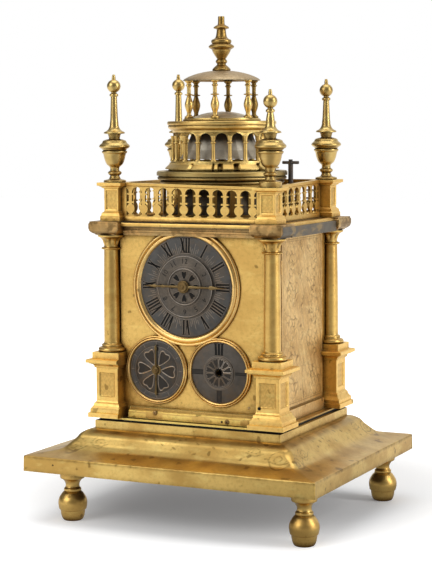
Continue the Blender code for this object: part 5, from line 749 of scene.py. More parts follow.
def panel_relief(half_width, bottom, top, depth, sides):
    """A sunk panel on the given sides, with an engraved ground: depth inside a rectangle, none outside."""

    def relief(side, along, height):
        chosen = np.isin(side, sides)
        inside = np.clip((half_width - np.abs(along)) / 0.35, 0, 1)
        inside *= np.clip((height - bottom) / 0.35, 0, 1) * np.clip((top - height) / 0.35, 0, 1)
        inside = np.where(chosen, inside, 0)
        swirl = np.sin(along * 2.1 + np.sin(height * 1.3)) * np.sin(height * 1.7 + np.sin(along * 1.9))
        ground = 0.5 + 0.5 * swirl
        return -depth * inside - 0.10 * inside * ground, inside * (0.35 + 0.5 * ground)

    return relief


def post_part(profile, half, relief, dado):
    """A square post: its profile with close rows over the dado, so that a panel can be sunk there."""
    rows = curved(profile)
    low, high = dado
    count = int((high - low) / 0.4)
    fine = np.column_stack([np.zeros(count), np.linspace(low, high, count)])
    rows = np.concatenate([rows[rows[:, 1] <= low], fine, rows[rows[:, 1] >= high]])
    return framed(rows, half, half, 0.25, 34, 3, relief=relief)


def outer_faces(side_x, side_y):
    """Which faces of a corner post look outward, as framed counts its sides."""
    return [0 if side_y < 0 else 2, 1 if side_x > 0 else 3]


def make_pedestals():
    """Four square pedestals with a moulded foot and cap, and a sunk panel on their two outer faces."""
    for corner, (side_x, side_y) in CORNERS.items():
        node = f"pedestal_{corner}"
        relief = panel_relief(5.5, 78.3, 93.7, 0.7, outer_faces(side_x, side_y))
        post = post_part(PEDESTAL, 7.8, relief, (75.6, 96.7))
        part = placed(post, (side_x * COLUMN_X, side_y * COLUMN_Y, 0))
        piece(f"{node}_moulded", clipped(part, *span(node)), "gilt_etched", stands_for=[node])


def sunk(part, bottom, top):
    """The attic leans: its rail and post are lower towards the front right corner, its foot stays."""
    points = part[0].copy()
    right = np.clip((points[:, 0] + 50.0) / 100.0, 0, 1)
    front = np.clip((40.0 - points[:, 1]) / 80.0, 0, 1)
    points[:, 2] -= ATTIC_SINK * right * front * (points[:, 2] - bottom) / (top - bottom)
    return points, part[1], part[2]


def make_attic_posts():
    """Four square posts between the balustrades, with a sunk panel on their two outer faces."""
    for corner, (side_x, side_y) in CORNERS.items():
        node = f"attic_post_{corner}"
        low, high = span(node)
        x, y, _ = middle_of(node)
        relief = panel_relief(3.8, 197.5, 209.5, 0.6, outer_faces(side_x, side_y))
        part = placed(post_part(ATTIC_POST, 5.1, relief, (196.4, 210.6)), (x, y, 0))
        part = sunk(clipped(part, low, high), low[2], high[2])
        piece(f"{node}_moulded", part, "gilt_etched", stands_for=[node])


def make_finials():
    """Turned finials: one body, then a spindle, a collar, a ball and a tip placed down from the node's top."""
    for corner in CORNERS:
        node = f"finial_{corner}"
        low, high = span(node)
        x, y, _ = (low + high) / 2
        ball = high[2] - 3.2 - 4.1
        body = curved(FINIAL_BODY) + [0, low[2] - FINIAL_BODY[0][1]]
        if corner == "front_right":
            body[:4, 1] -= ATTIC_SINK
        neck = curved([(2.75, 251.6), (2.4, 255.0), (1.95, ball - 7.2), (1.9, ball - 6.6), (1.9, ball - 6.6),
                       (2.6, ball - 6.3), (2.75, ball - 5.6), (2.5, ball - 4.9), (1.7, ball - 4.4),
                       (1.7, ball - 4.0)])
        arc = np.linspace(-1.18, 1.25, 15)
        round_part = np.column_stack([4.3 * np.cos(arc), ball + 4.2 * np.sin(arc)])
        tip = curved([(1.2, ball + 4.3), (1.2, ball + 5.2), (0.8, high[2]), (0.8, high[2]), (0, high[2]),
                      (0, high[2])])
        part = placed(turned(np.concatenate([body, neck, round_part, tip]), 48), (x, y, 0))
        piece(f"{node}_turned", part, "gilt_finial", stands_for=[node])


BASE_SCROLLS = (
    # place along the side as a share of the half side, level, reach, pitch of the spiral
    (1.06, 50.0, 8.2, 3.3),
    (0.80, 52.5, 4.4, 2.2),
    (-0.86, 50.6, 5.6, 2.6),
    (-1.12, 48.0, 7.6, 3.1),
)


BASE_ROUNDING = (
    # offset and height of a place on the profile, radius added there to the corner, how far that reaches
    (10.0, 52.6, 4.0, 5.5),
    (35.3, 42.0, 0.6, 8.0),
    (17.5, 45.6, 3.0, 5.0),
)


def base_relief(side, along, height):
    """Sheet that is not quite true: shallow waves, thin scrolls, pitted wear, darker bands under the plinth and
    at the foot of the slope, brown patina near the mitres, and rim lines.
    """
    long_side = np.isin(side, (0, 2))
    wave = 0.18 * np.sin(along * 0.11 + side) * np.sin(along * 0.043 + height * 0.3)
    edge = np.where(long_side, 64.7, 55.05)
    etch_and_shade = np.zeros(height.shape)
    for centre, level, reach, pitch in BASE_SCROLLS:
        dx, dz = along - centre * edge, (height - level) * 1.5
        radius, angle = np.hypot(dx, dz), np.arctan2(dz, dx)
        turns = (radius / pitch - angle / FULL_TURN * np.sign(centre)) % 1.0
        line = ridge(turns - 0.5, 0.085) * (radius < reach) * (radius > 0.8)
        stem = ridge(dz + 0.5 * reach - 0.06 * dx**2, 0.35) * (np.abs(dx) < 1.3 * reach)
        etch_and_shade = np.maximum.reduce([etch_and_shade, line, 0.8 * stem])
    wear = np.sin(along * 0.61 + 1.3 * side) * np.sin(height * 1.7 + along * 0.23)
    wear += 0.6 * np.sin(along * 1.9 + height * 2.6)
    wear *= 0.7 + 0.5 * np.sin(along * 0.173 + height * 0.9)
    wear = np.clip(wear - 0.6, 0, 1) * ridge(along, 0.62 * edge) * ridge(height - 53, 3.4)
    uneven = 0.7 + 0.3 * np.sin(along * 0.37 + side) * np.sin(along * 0.083)
    # Darker bands under the plinth and at the foot of the slope, then brown patina near the mitres.
    dark_bands = 0.85 * ridge(height - 56.4, 1.7) + 0.5 * ridge(height - 44.6, 1.6)
    dark_bands = np.maximum(dark_bands, 0.40 * ridge(edge + 12.0 - np.abs(along), 8.0))
    slope = np.where(side >= 0, np.clip(etch_and_shade + 1.7 * wear + dark_bands * uneven, 0, 1), dark_bands)
    rim = ridge(height - 41.9, 0.9) + ridge(height - 32.6, 1.2)
    rim_end = np.where(long_side, 100.0, 85.5)
    rim += 0.9 * (side % 2 == 1) * ridge(rim_end - 1.7 - np.abs(along), 0.8)
    rim *= uneven * (0.8 + 0.2 * np.sin(along * 1.3))
    etch_and_shade = np.where(height < 42.5, rim, np.where((height < 58) & (height > 42.5), slope, 0))
    return np.where(side >= 0, wave - 0.06 * etch_and_shade, 0), etch_and_shade


def make_base():
    """The base sheet: its profile with close rows, carried round the plinth, rounder at some heights."""
    low, high = span("base_moulding")
    profile = curved(BASE_PROFILE, 6)
    rows = [profile[:1]]
    for start, stop in zip(profile[:-1], profile[1:]):
        count = max(int(np.linalg.norm(stop - start) / 1.2), 1)
        rows.append(start + (stop - start) * np.linspace(0, 1, count + 1)[1:, None])
    profile = np.concatenate(rows)[::-1]
    corner = np.full(len(profile), 0.5)
    for offset, level, added, reach in BASE_ROUNDING:
        corner += added * ridge(np.linalg.norm(profile - (offset, level), axis=1), reach)
    part = framed(profile, high[0] - BASE_REACH_X, high[1] - BASE_REACH_Y, corner[:, None, None], 150, 7,
                  (1.0, BASE_REACH_Y / BASE_REACH_X), base_relief, ring=True)
    piece("base_sheet", clipped(part, low, high), "gilt_base", stands_for=["base_moulding"])
    dressed("base_board", "board")


def baluster_half_width(heights, pitch):
    """Half width of a flat baluster: spread foot, round bulb, collar, thin neck, then half an arch."""
    z = np.asarray(heights, float)
    bulb = 2.9 * np.sqrt(np.clip(1 - ((z - 198.0) / 3.1) ** 2, 0, 1))
    foot = np.where(z < 194.4, 1.9 + (194.4 - z) * 0.9, 0)
    collar = np.where(np.abs(z - 202.05) < 0.55, 2.55, 0)
    neck = np.where(z > 200.6, 1.0 + 0.01 * (z - 201), 1.15)
    cap = np.where(np.abs(z - 207.3) < 0.5, 2.35, 0)
    arch = np.where(z > 208.1, arch_half_width(pitch / 2, pitch / 2 - 1.05, 208.1, z), 0)
    return np.maximum.reduce([bulb, foot, collar, neck, cap, arch])


BALUSTERS = {"front": 10, "right": 8, "back": 10, "left": 8}
BALUSTER_FRONT, BALUSTER_BACK = 0.55, 2.05
BALUSTER_STEPS = (194.0, 194.4, 195.0, 201.1, 201.45, 201.55, 202.55, 202.65, 206.75, 206.85, 207.75, 207.85,
                  208.15)


def make_balustrades():
    """Flat cut balusters between two rails, made along X and then turned to their side of the attic."""
    for quarter, (side, count) in enumerate(BALUSTERS.items()):
        node = f"balustrade_{side}"
        low, high = span(node)
        x, y, _ = (low + high) / 2
        bottom, top = low[2], high[2]
        length, thick = sorted((high - low)[:2], reverse=True)
        half, pitch = length / 2, (length - 3.0) / count
        arch_steps = 208.1 + 3.8 * np.sin(np.linspace(0.05, math.pi / 2, 10))
        bulb_steps = np.linspace(195.2, 201.0, 18)
        heights = np.sort([bottom + 2.4, *BALUSTER_STEPS, *bulb_steps, *arch_steps, top - 1.2])
        face, rear = -thick / 2, thick / 2
        front, back = face + BALUSTER_FRONT, face + BALUSTER_BACK
        baluster = pier(baluster_half_width(heights, pitch), heights, front, back)
        parts = [placed(baluster, ((index - (count - 1) / 2) * pitch, 0, 0)) for index in range(count)]
        end = beam([(front, bottom + 2), (back, bottom + 2), (back, top - 1), (front, top - 1)], -1.7, 1.7)
        parts += [placed(end, (1.7 - half, 0, 0)), placed(end, (half - 1.7, 0, 0))]
        lower = [(face, bottom), (rear, bottom), (rear, bottom + 2.0), (back, bottom + 2.9),
                 (front, bottom + 2.9), (front - 0.2, bottom + 2.5), (face, bottom + 2.0)]
        upper = [(front, top - 2.3), (back, top - 2.3), (rear, top - 1.7), (rear, top), (face, top),
                 (face, top - 1.7)]
        parts += [beam(lower, -half, half), beam(upper, -half, half)]
        part = placed(gathered(parts), (x, y, 0), quarter * math.pi / 2)
        piece(f"{node}_cut", sunk(clipped(part, low, high), bottom, top), "gilt", stands_for=[node])


def round_drum(part, count, first):
    """The part repeated round the Z axis count times, the first turned by an angle."""
    return [placed(part, turn=first + index * FULL_TURN / count) for index in range(count)]


def arcade(radius, thickness, bottom, top, count, opening, first, crown):
    """A drum wall of round arches: flat piers wrapped round the axis."""
    pitch = FULL_TURN * radius / count
    half_opening = pitch * opening / 2
    spring = crown - half_opening
    heights = np.concatenate([np.linspace(bottom, spring, 6), np.linspace(spring, crown, 12)[1:], [top]])
    widths = arch_half_width(pitch / 2, half_opening, spring, heights)
    widths[heights >= crown - 1e-6] = pitch / 2
    return round_drum(bent(pier(widths, heights, 0.0, thickness), radius), count, first)


def make_lower_drum():
    """Arcade wall on a foot ring, and a cornice of rings on top of it."""
    parts = arcade(38.4, 1.5, bottom=190.6, top=213.6, count=20, opening=0.68, first=0.0, crown=211.9)
    foot = [(38.4, 190.2), (39.3, 190.2), (39.3, 191.8), (38.9, 192.4), (38.4, 192.8), (38.4, 194.0),
            (36.9, 194.0), (36.9, 190.2)]
    cornice = curved([(36.9, 213.2), (39.4, 213.2), (39.4, 213.2), (40.0, 213.6), (40.0, 214.4),
                      (39.4, 214.8), (39.4, 214.8), (39.0, 215.3), (39.0, 215.3), (41.0, 215.6),
                      (41.6, 216.4), (41.4, 217.2), (40.7, 217.6), (40.7, 217.6), (40.7, 217.9),
                      (40.7, 217.9), (42.1, 218.2), (42.1, 218.2), (42.1, 220.2), (42.1, 220.2),
                      (41.6, 220.6), (41.6, 220.95), (41.6, 220.95), (32.0, 220.95), (32.0, 220.95),
                      (32.0, 219.2), (32.0, 219.2), (36.9, 218.6), (36.9, 218.6)], 4)
    parts.append(turned(foot, 96, ring=True))
    piece("lower_drum_arcade", gathered(parts), "gilt_shade", stands_for=["lower_drum"])
    piece("lower_drum_cornice", turned(cornice, 120, ring=True), "cornice_dull")


DRUM_BREAKS = (
    # degrees from the front to the right, half width in degrees, depth
    (16.5, 1.1, 1.6),
    (23.6, 2.0, 2.8),
    (40.9, 2.6, 3.4),
    (67.6, 1.8, 2.4),
    (-8.0, 1.2, 0.8),
    (-64.0, 3.0, 1.5),
)


def chipped_base(angle, height):
    """Breaks in the drum's foot ring: e to the minus fourth power of the turn from each, off the radius."""
    turn = np.degrees(np.arctan2(np.cos(angle), -np.sin(angle)))
    hollow = sum(depth * np.exp(-(((turn - place) / width) ** 4)) for place, width, depth in DRUM_BREAKS)
    return -hollow * np.clip((226.4 - height) / 0.8, 0, 1)


def make_upper_drum():
    """Colonnettes before plain uprights, arches over them, a broken foot ring and a cornice."""
    bays, first = 19, math.radians(-3.1)
    parts = arcade(31.3, 1.4, bottom=240.6, top=246.6, count=bays, opening=0.74, first=first, crown=245.2)
    parts += round_drum(bent(pier([0.85] * 3, np.linspace(227.0, 240.7, 3), 0.0, 1.0), 30.9), bays, first)
    colonnette = curved([(0, 227.2), (0, 227.2), (1.9, 227.2), (1.9, 227.2), (1.9, 228.1), (1.5, 228.6),
                         (1.25, 229.2), (1.15, 232.0), (1.1, 238.4), (1.1, 238.4), (1.7, 238.8), (1.7, 239.5),
                         (1.1, 239.9), (1.1, 239.9), (1.2, 241.6), (1.7, 243.4), (1.7, 243.4), (0, 243.4),
                         (0, 243.4)], 3)
    base = curved([(29.8, 221.3), (34.6, 221.3), (34.6, 221.3), (34.6, 222.2), (34.6, 222.2), (36.6, 222.3),
                   (36.6, 222.3), (36.6, 223.0), (36.6, 223.0), (33.9, 225.5), (33.9, 225.5), (33.9, 226.3),
                   (33.9, 226.3), (33.0, 226.4), (33.0, 226.4), (32.9, 227.4), (32.9, 227.4), (29.8, 227.4),
                   (29.8, 227.4)], 4)
    cornice = curved([(29.8, 245.6), (31.5, 245.6), (31.5, 245.6), (32.0, 246.8), (32.0, 246.8),
                      (33.0, 247.2), (34.2, 248.2), (34.2, 248.2), (34.5, 248.8), (34.5, 249.6),
                      (34.1, 250.0), (34.1, 250.0), (34.8, 250.4), (35.0, 251.4), (34.8, 252.4),
                      (34.2, 252.7), (34.2, 252.7), (25.5, 252.7), (25.5, 252.7), (25.5, 251.2),
                      (25.5, 251.2), (29.8, 250.6), (29.8, 250.6)], 4)
    parts += round_drum(placed(turned(colonnette, 14), (0, -31.4, 0)), bays, first)
    parts.append(turned(base, 240, ring=True, lobes=chipped_base))
    piece("upper_drum_cornice", turned(cornice, 110, ring=True), "gilt_tower")
    piece("upper_drum_arcade", gathered(parts), "gilt_tower", stands_for=["upper_drum"])


def make_lantern():
    """Dome, its ring, six balusters with a cupola over them, and the top finial."""
    rise = np.linspace(0, 1, 12)
    across = np.sqrt(1 - rise**1.25 * 0.999)

    def shell(outside, inside, brim, crown):
        """Profile of a low dome: its under side, the brim and its top, each side as radius, foot and height."""
        top, under = (np.column_stack([radius * across, foot + height * rise]) for radius, foot, height in
                      (outside, inside))
        return np.concatenate([[(0, crown[0])], under[::-1][1:], brim, top[:-1], [(0, crown[1])]])

    dome = shell((19.6, 254.2, 4.6), (19.4, 252.95, 4.4), [(20.2, 252.9), (20.2, 254.0)], (257.4, 258.8))
    piece("drum_dome_turned", turned(dome, 96), "dome_grey", stands_for=["drum_dome"])
    ring = curved([(19.8, 252.7), (24.7, 252.7), (24.7, 252.7), (25.0, 253.1), (24.9, 253.7), (24.3, 253.9),
                   (24.3, 253.9), (24.2, 254.5), (24.2, 254.5), (19.8, 254.5), (19.8, 254.5)], 4)
    piece("lantern_ring", turned(ring, 96, ring=True), "gilt_tower")
    cupola = shell((24.5, 278.9, 6.0), (23.4, 278.3, 5.4), [(23.8, 278.2), (24.75, 278.45)], (283.8, 285.0))
    piece("cupola_turned", turned(cupola, 96), "roof_dull")
    column = curved(LANTERN_COLUMN, 4) + [0, 254.3]
    front, rear = [], []
    for index in range(6):
        angle = math.radians(44.7 + 60 * index)
        part = placed(turned(column, 24), (22.0 * math.cos(angle), 22.0 * math.sin(angle), 0))
        (front if math.sin(angle) < 0 else rear).append(part)
    piece("lantern_front_balusters", gathered(front), "gilt_tower", stands_for=["lantern"])
    piece("lantern_rear_balusters", gathered(rear), "gilt_shade")
    piece("top_finial_turned", turned(curved(TOP_FINIAL)), "finial_brown", stands_for=["top_finial"])


BEZEL_SHARES = (
    # inward from the rim as a share of the width, height as a share of how proud it stands
    (1, 0), (1, 0), (0, 0), (0, 0), (0, 0.35), (0.10, 0.62), (0.25, 0.70), (0.36, 0.42), (0.36, 0.42),
    (0.48, 0.80), (0.66, 1), (0.86, 0.82), (1, 0.42), (1, 0.42),
)


def make_bezels():
    """Three turned rings with a hollow between two mouldings, facing the front."""
    inward, raised = np.array(BEZEL_SHARES, float).T
    for node, width in (("main_bezel", 5.5), ("left_bezel", 2.8), ("right_bezel", 2.8)):
        low, high = span(node)
        x, _, z = (low + high) / 2
        outer = (high - low)[0 if node == "main_bezel" else 2] / 2
        profile = curved(np.column_stack([outer - width * inward, (high - low)[1] * raised]), 4)
        part = facing_front(turned(profile, 128, ring=True), (x, high[1], z))
        piece(f"{node}_turned", clipped(part, low, high), "bezel_gold", stands_for=[node])


FRIEZE_FRONT, FRIEZE_SIDE = 50.9, 58.6


def make_entablature():
    """Four corner blocks, a cavetto rising to a square slab, and the bars and strips between them, with dark
    bands painted as the shadow in the gap above each strip.
    """
    high = span("entablature")[1]
    block = curved([(-3.4, 181.4), (-3.4, 181.4), (-3.0, 182.0), (-1.6, 182.8), (-0.5, 184.0), (-0.2, 185.2),
                    (-0.2, 185.2), (0, 185.4), (0, 185.4), (0, 188.6), (0, 188.6), (-0.5, 189.1),
                    (-0.5, 190.0), (-0.5, 190.0)], 4)
    half = 10.8
    parts = []
    for side_x, side_y in CORNERS.values():
        centre = (side_x * (high[0] - half), side_y * (high[1] - half), 0)
        parts.append(placed(framed(block, half, half, 0.5, 6, 3), centre))
    piece("entablature_blocks", gathered(parts), "gilt_worn", stands_for=["entablature"])

    long_half, short_half = high[0] - 2 * half + 0.2, high[1] - 2 * half + 0.2
    section = curved([(0.0, 181.5), (0.0, 181.5), (-1.4, 181.5), (-1.4, 181.5), (-1.4, 183.2), (-1.4, 183.2),
                      (-2.0, 183.6), (-2.0, 184.7), (-1.6, 185.0), (-1.6, 185.0), (-1.6, 186.4),
                      (-1.6, 186.4), (0.0, 186.4), (0.0, 186.4)], 3)[::-1]
    frieze = doubled(beam(section, -long_half, long_half, 24), 48.0)
    piece("frieze_bars", frieze, "gilt_worn")
    strip = [(0.0, 187.4), (-1.9, 187.4), (-2.1, 187.7), (-2.1, 189.0), (-1.8, 189.4), (0.0, 189.4)][::-1]
    strips = doubled(beam(strip, -long_half, long_half, 24), FRIEZE_FRONT)
    piece("frieze_strips", strips, "gilt")
    # A dark band painted as the shadow in the gap between strip and balustrade.
    gap = [(0.0, 189.3), (-1.2, 189.3), (-1.2, 190.1), (0.0, 190.1)][::-1]
    gap_shadows = doubled(beam(gap, -long_half, long_half, 2), FRIEZE_FRONT)
    piece("frieze_gap_shadows", gap_shadows, "dial_lines")

    offset, level = block[(block[:, 1] > 181.5) & (block[:, 1] < 188.9)].T
    outer, inner = np.column_stack([-offset - 0.12, level]), np.column_stack([0.4 - offset, level])
    section = np.concatenate([outer, inner[::-1]])[::-1]
    sheet = placed(beam(section, 2.4 - high[1], 2 * half - high[1], 2), (high[0], 0, 0), math.pi / 2)
    side = [(0.0, 181.5), (-6.0, 181.5), (-6.0, 187.6), (-5.4, 188.1), (0.0, 188.1)][::-1]
    sides = doubled(beam(side, -short_half, short_half, 24), FRIEZE_SIDE, math.pi / 2)
    piece("side_architraves", gathered([sheet, sides]), "bare_edge")
    cap = [(0.0, 188.0), (-4.6, 188.0), (-4.6, 188.6), (-3.9, 189.0), (-3.9, 190.0), (0.0, 190.0)][::-1]
    caps = doubled(beam(cap, -short_half, short_half, 8), FRIEZE_SIDE, math.pi / 2)
    piece("side_cornices", caps, "gilt")


NUMERALS = ("XII", "I", "II", "III", "IIII", "V", "VI", "VII", "VIII", "IX", "X", "XI")
STROKE_SHAPES = {
    "I": (2.0, ((0.0, 0.0, 0.0, 1.0, 1.25), (-0.95, 0.0, 0.95, 0.0, 0.30), (-0.95, 1.0, 0.95, 1.0, 0.30))),
    "V": (3.4, ((-1.15, 1.0, 0.0, 0.0, 1.25), (1.15, 1.0, 0.0, 0.0, 0.60), (-1.7, 1.0, -0.5, 1.0, 0.22),
                (0.6, 1.0, 1.6, 1.0, 0.22))),
    "X": (3.4, ((-1.1, 1.0, 1.1, 0.0, 1.25), (1.1, 1.0, -1.1, 0.0, 0.60), (-1.6, 1.0, -0.5, 1.0, 0.22),
                (0.5, 1.0, 1.6, 1.0, 0.22), (-1.6, 0.0, -0.5, 0.0, 0.22), (0.5, 0.0, 1.6, 0.0, 0.22))),
}


def dial_ways(angle):
    """Unit vectors on a dial, outward and across, turned clockwise from the top by angle."""
    sine, cosine = math.sin(angle), math.cos(angle)
    return np.array([sine, cosine]), np.array([cosine, -sine])


def hour_angle(hour):
    """Angle of an hour on a dial, clockwise from the top."""
    return hour * FULL_TURN / 12


def radial_stroke(angle, start, stop, width, offset=0.0):
    """A stroke along the radius, moved sideways by offset."""
    radial, across = dial_ways(angle)
    return (*(radial * start + across * offset), *(radial * stop + across * offset), width)


def numeral_strokes(word, angle, inner, height, scale=1.0):
    """Strokes of a Roman numeral that stands on a ring, turned clockwise from the top by angle."""
    widths = [STROKE_SHAPES[letter][0] * scale for letter in word]
    start = -sum(widths) / 2
    radial, across = dial_ways(angle)
    strokes = []
    for letter, width in zip(word, widths):
        middle = start + width / 2
        start += width
        for x0, y0, x1, y1, thick in STROKE_SHAPES[letter][1]:
            spread0, spread1 = 0.86 + 0.14 * y0, 0.86 + 0.14 * y1
            a = (middle + x0 * scale) * spread0 * across + (inner + y0 * height) * radial
            b = (middle + x1 * scale) * spread1 * across + (inner + y1 * height) * radial
            strokes.append((*a, *b, thick * scale))
    return strokes


def petal(angle, inner, outer, half_width, notch, narrow=0.22):
    """A closed leaf outline like a fan: narrow at its foot, wide and blunt with a shallow notch at its end."""
    turn = np.linspace(0, FULL_TURN, 44, endpoint=False)
    share = ((1 - np.cos(turn)) / 2) ** 0.8
    blunt = np.sign(np.sin(turn)) * np.abs(np.sin(turn)) ** 0.55
    across = half_width * blunt * (narrow + (1 - narrow) * share)
    along = inner + (outer - inner) * share - notch * ridge(across, half_width * 0.35) * share**4
    radial, side = dial_ways(angle)
    return along[:, None] * radial + across[:, None] * side


def ring_wire(radius, width, height, lift, count=96):
    """A low rounded ring round the dial's middle."""
    turn = np.linspace(0, FULL_TURN, count, endpoint=False)
    return wire(np.column_stack([radius * np.cos(turn), radius * np.sin(turn)]), width, height, lift)


def on_dial(part, node):
    """The part faced to the front over the middle of a dial's back."""
    low, high = span(node)
    return facing_front(part, ((low[0] + high[0]) / 2, high[1], (low[2] + high[2]) / 2))


def dial_disc(name, node, finish, steps, body="case"):
    """A flat turned disc: steps are radius and height over its back face."""
    profile = np.array([(0.0, 0.0), (steps[0][0], 0.0), *steps, (0.0, steps[-1][1])])
    piece(name, on_dial(turned(profile, 120), node), finish, body, [node])


def dial_detail(name, node, finish, parts, body="case"):
    """Parts that lie on a dial, with heights over its back, made one piece."""
    piece(name, on_dial(gathered(parts), node), finish, body)


def digits(word, height, place, angle, level):
    """Figures of the built in font, made a mesh, as one part that stands at a place on a dial."""
    curve = bpy.data.curves.new("figures", "FONT")
    curve.body, curve.size, curve.extrude = word, height, 0.03
    curve.align_x, curve.align_y = "CENTER", "CENTER"
    curve.resolution_u = 3
    holder = bpy.data.objects.new("figures", curve)
    bpy.context.scene.collection.objects.link(holder)
    bpy.context.view_layer.update()
    mesh = holder.evaluated_get(bpy.context.evaluated_depsgraph_get()).to_mesh()
    mesh.calc_loop_triangles()
    points = np.empty(len(mesh.vertices) * 3)
    mesh.vertices.foreach_get("co", points)
    triangles = np.empty(len(mesh.loop_triangles) * 3, np.int32)
    mesh.loop_triangles.foreach_get("vertices", triangles)
    bpy.data.objects.remove(holder)
    bpy.data.curves.remove(curve)
    points = points.reshape(-1, 3)
    part = placed((points, triangles.reshape(-1, 3), np.zeros(len(points))), turn=-angle)
    return part[0] + [place[0], place[1], level], part[1], part[2]


def make_hour_ring():
    """Hour ring with cut numerals, pale along their edges, and a small fan of strokes between the hours."""
    radius = (span("hour_dial")[1] - span("hour_dial")[0])[0] / 2
    steps = [(radius, 0.75), (radius - 0.35, 0.90), (20.4, 0.90), (20.2, 0.80), (20.0, 0.80), (19.8, 0.90)]
    dial_disc("hour_dial_disc", "hour_dial", "dial_dark", steps)
    strokes, height = [], bpy.context.scene.clock_sizes.numeral_height / MM
    for hour, word in enumerate(NUMERALS):
        strokes += numeral_strokes(word, hour_angle(hour), 21.1, height)
    dial_detail("hour_numerals", "hour_dial", "dial_lines", [bars(strokes, 0.82, 0.98)])
    wider = [stroke[:4] + (stroke[4] + 0.46,) for stroke in strokes]
    fan = ((-0.11, 22.2, 25.2), (-0.06, 20.9, 24.2), (0.0, 20.9, 27.6), (0.06, 20.9, 24.2), (0.11, 22.2, 25.2))
    marks = [radial_stroke(hour_angle(hour + 0.5) + spread, start, stop, 0.32)
             for hour in range(12) for spread, start, stop in fan]
    edges = [ring_wire(20.6, 0.22, 0.06, 0.90), bars(wider, 0.82, 0.93), bars(marks, 0.82, 0.92)]
    dial_detail("hour_edges", "hour_dial", "dial_edges", edges)


def make_alarm_disc():
    """Alarm disc: stepped hub with a rosette of eight leaves, figures 1 to 12 and two pale rims."""
    steps = [(19.3, 0.9), (19.0, 1.15), (12.1, 1.15), (11.8, 1.35), (11.8, 1.95), (11.4, 2.15), (10.6, 2.15),
             (10.3, 1.75)]
    dial_disc("alarm_disc_face", "alarm_disc", "dial_dark", steps, "alarm_disc")
    rims = [ring_wire(18.95, 0.34, 0.20, 1.15), ring_wire(11.2, 0.26, 0.14, 2.12)]
    holes, lines, figures = [], [], []
    for index in range(8):
        angle = index * FULL_TURN / 8
        holes.append(slab(petal(angle, 5.0, 9.6, 1.9, 0.7, 0.4)[::-1], 1.6, 1.80))
        lines.append(wire(petal(angle, 4.6, 10.0, 2.2, 0.9, 0.4)[::-1], 0.30, 0.16, 1.76))
    lines.append(ring_wire(12.7, 0.22, 0.10, 1.15))
    for hour in range(1, 13):
        angle = hour_angle(hour)
        figures.append(digits(str(hour), 4.6, 15.7 * dial_ways(angle)[0], angle, 1.16))
    for name, finish, parts in (
        ("alarm_disc_rim", "dial_bright", rims),
        ("alarm_rosette_holes", "dial_lines", holes),
        ("alarm_rosette", "dial_edges", lines),
        ("alarm_figures", "dial_lines", figures),
    ):
        dial_detail(name, "alarm_disc", finish, parts, "alarm_disc")


def make_left_dial():
    """Left dial: six broad leaves round a hub, and a ring of twelve marks."""
    steps = [(18.9, 0.9), (18.7, 1.0), (15.2, 1.0), (15.0, 0.85), (14.7, 0.85), (14.5, 1.0)]
    dial_disc("left_dial_disc", "left_dial", "dial_grey", steps)
    holes, lines = [], []
    for index in range(6):
        angle = (index + 0.5) * FULL_TURN / 6 + 0.06
        holes.append(slab(petal(angle, 4.1, 12.6, 3.9, 0.8)[::-1], 0.8, 1.03))
        lines.append(wire(petal(angle, 3.4, 13.3, 4.6, 0.9)[::-1], 0.62, 0.35, 1.02))
    hub = curved([(0, 0.9), (3.5, 0.9), (3.5, 0.9), (3.5, 1.2), (3.2, 1.5), (3.2, 1.5), (2.6, 1.5), (2.4, 1.7),
                  (2.4, 1.7), (0, 1.7), (0, 1.7)], 3)
    marks = [radial_stroke(hour_angle(hour), 15.9, 17.9, 0.3) for hour in range(12)]
    rings = [ring_wire(radius, 0.24, 0.08, 1.0) for radius in (15.0, 18.2)]
    dial_detail("left_rosette_hub", "left_dial", "hand_brass", [turned(hub, 40)])
    dial_detail("left_rosette_holes", "left_dial", "dial_shade", holes)
    dial_detail("left_rosette", "left_dial", "dial_relief", lines)
    dial_detail("left_dial_rings", "left_dial", "dial_edges", rings + [bars(marks, 0.95, 1.06)])


def make_right_dial():
    """Right dial: an open hub, twelve narrow leaves, three dark bands and one numeral."""
    profile = [(2.1, 0.0), (18.9, 0.0), (18.9, 0.9), (18.7, 1.0), (10.2, 1.0), (9.8, 1.1), (9.8, 1.45),
               (9.4, 1.6), (8.9, 1.6), (8.6, 1.4), (2.1, 1.4)]
    disc = on_dial(turned(profile, 120, ring=True), "right_dial")
    piece("right_dial_disc", disc, "dial_brown", stands_for=["right_dial"])
    bright, dim, leaves = [], [], []
    for index in range(12):
        angle = hour_angle(index + 0.45)
        leaves.append(slab(petal(angle, 3.2, 8.8, 1.8, 0.8, 0.3)[::-1], 1.2, 1.44))
        edge = wire(petal(angle, 3.0, 9.3, 2.15, 0.9, 0.3)[::-1], 0.42, 0.22, 1.42)
        (bright if index < 3 else dim).append(edge)
    dim += [ring_wire(9.9, 0.40, 0.14, 1.56), ring_wire(10.7, 0.30, 0.10, 1.02)]
    bands, dark = [], []
    for quarter, width in ((1, 1.5), (2, 2.9), (3, 2.7)):
        angle = quarter * FULL_TURN / 4
        bands.append(radial_stroke(angle, 10.9, 18.6, width))
        dark += [radial_stroke(angle, 10.9, 18.6, 0.36, offset) for offset in (-width / 2, width / 2)]
    dark += numeral_strokes("III", 0.0, 11.0, 7.2, 1.15)
    dial_detail("right_rosette", "right_dial", "dial_bright", bright)
    dial_detail("right_rosette_dim", "right_dial", "dial_edges", dim)
    dial_detail("right_dial_bands", "right_dial", "dial_shade", [bars(bands, 0.9, 1.03)] + leaves)
    marks = [bars(dark, 0.9, 1.10), ring_wire(2.5, 0.9, 0.12, 1.4, 32)]
    dial_detail("right_dial_marks", "right_dial", "dial_lines", marks)


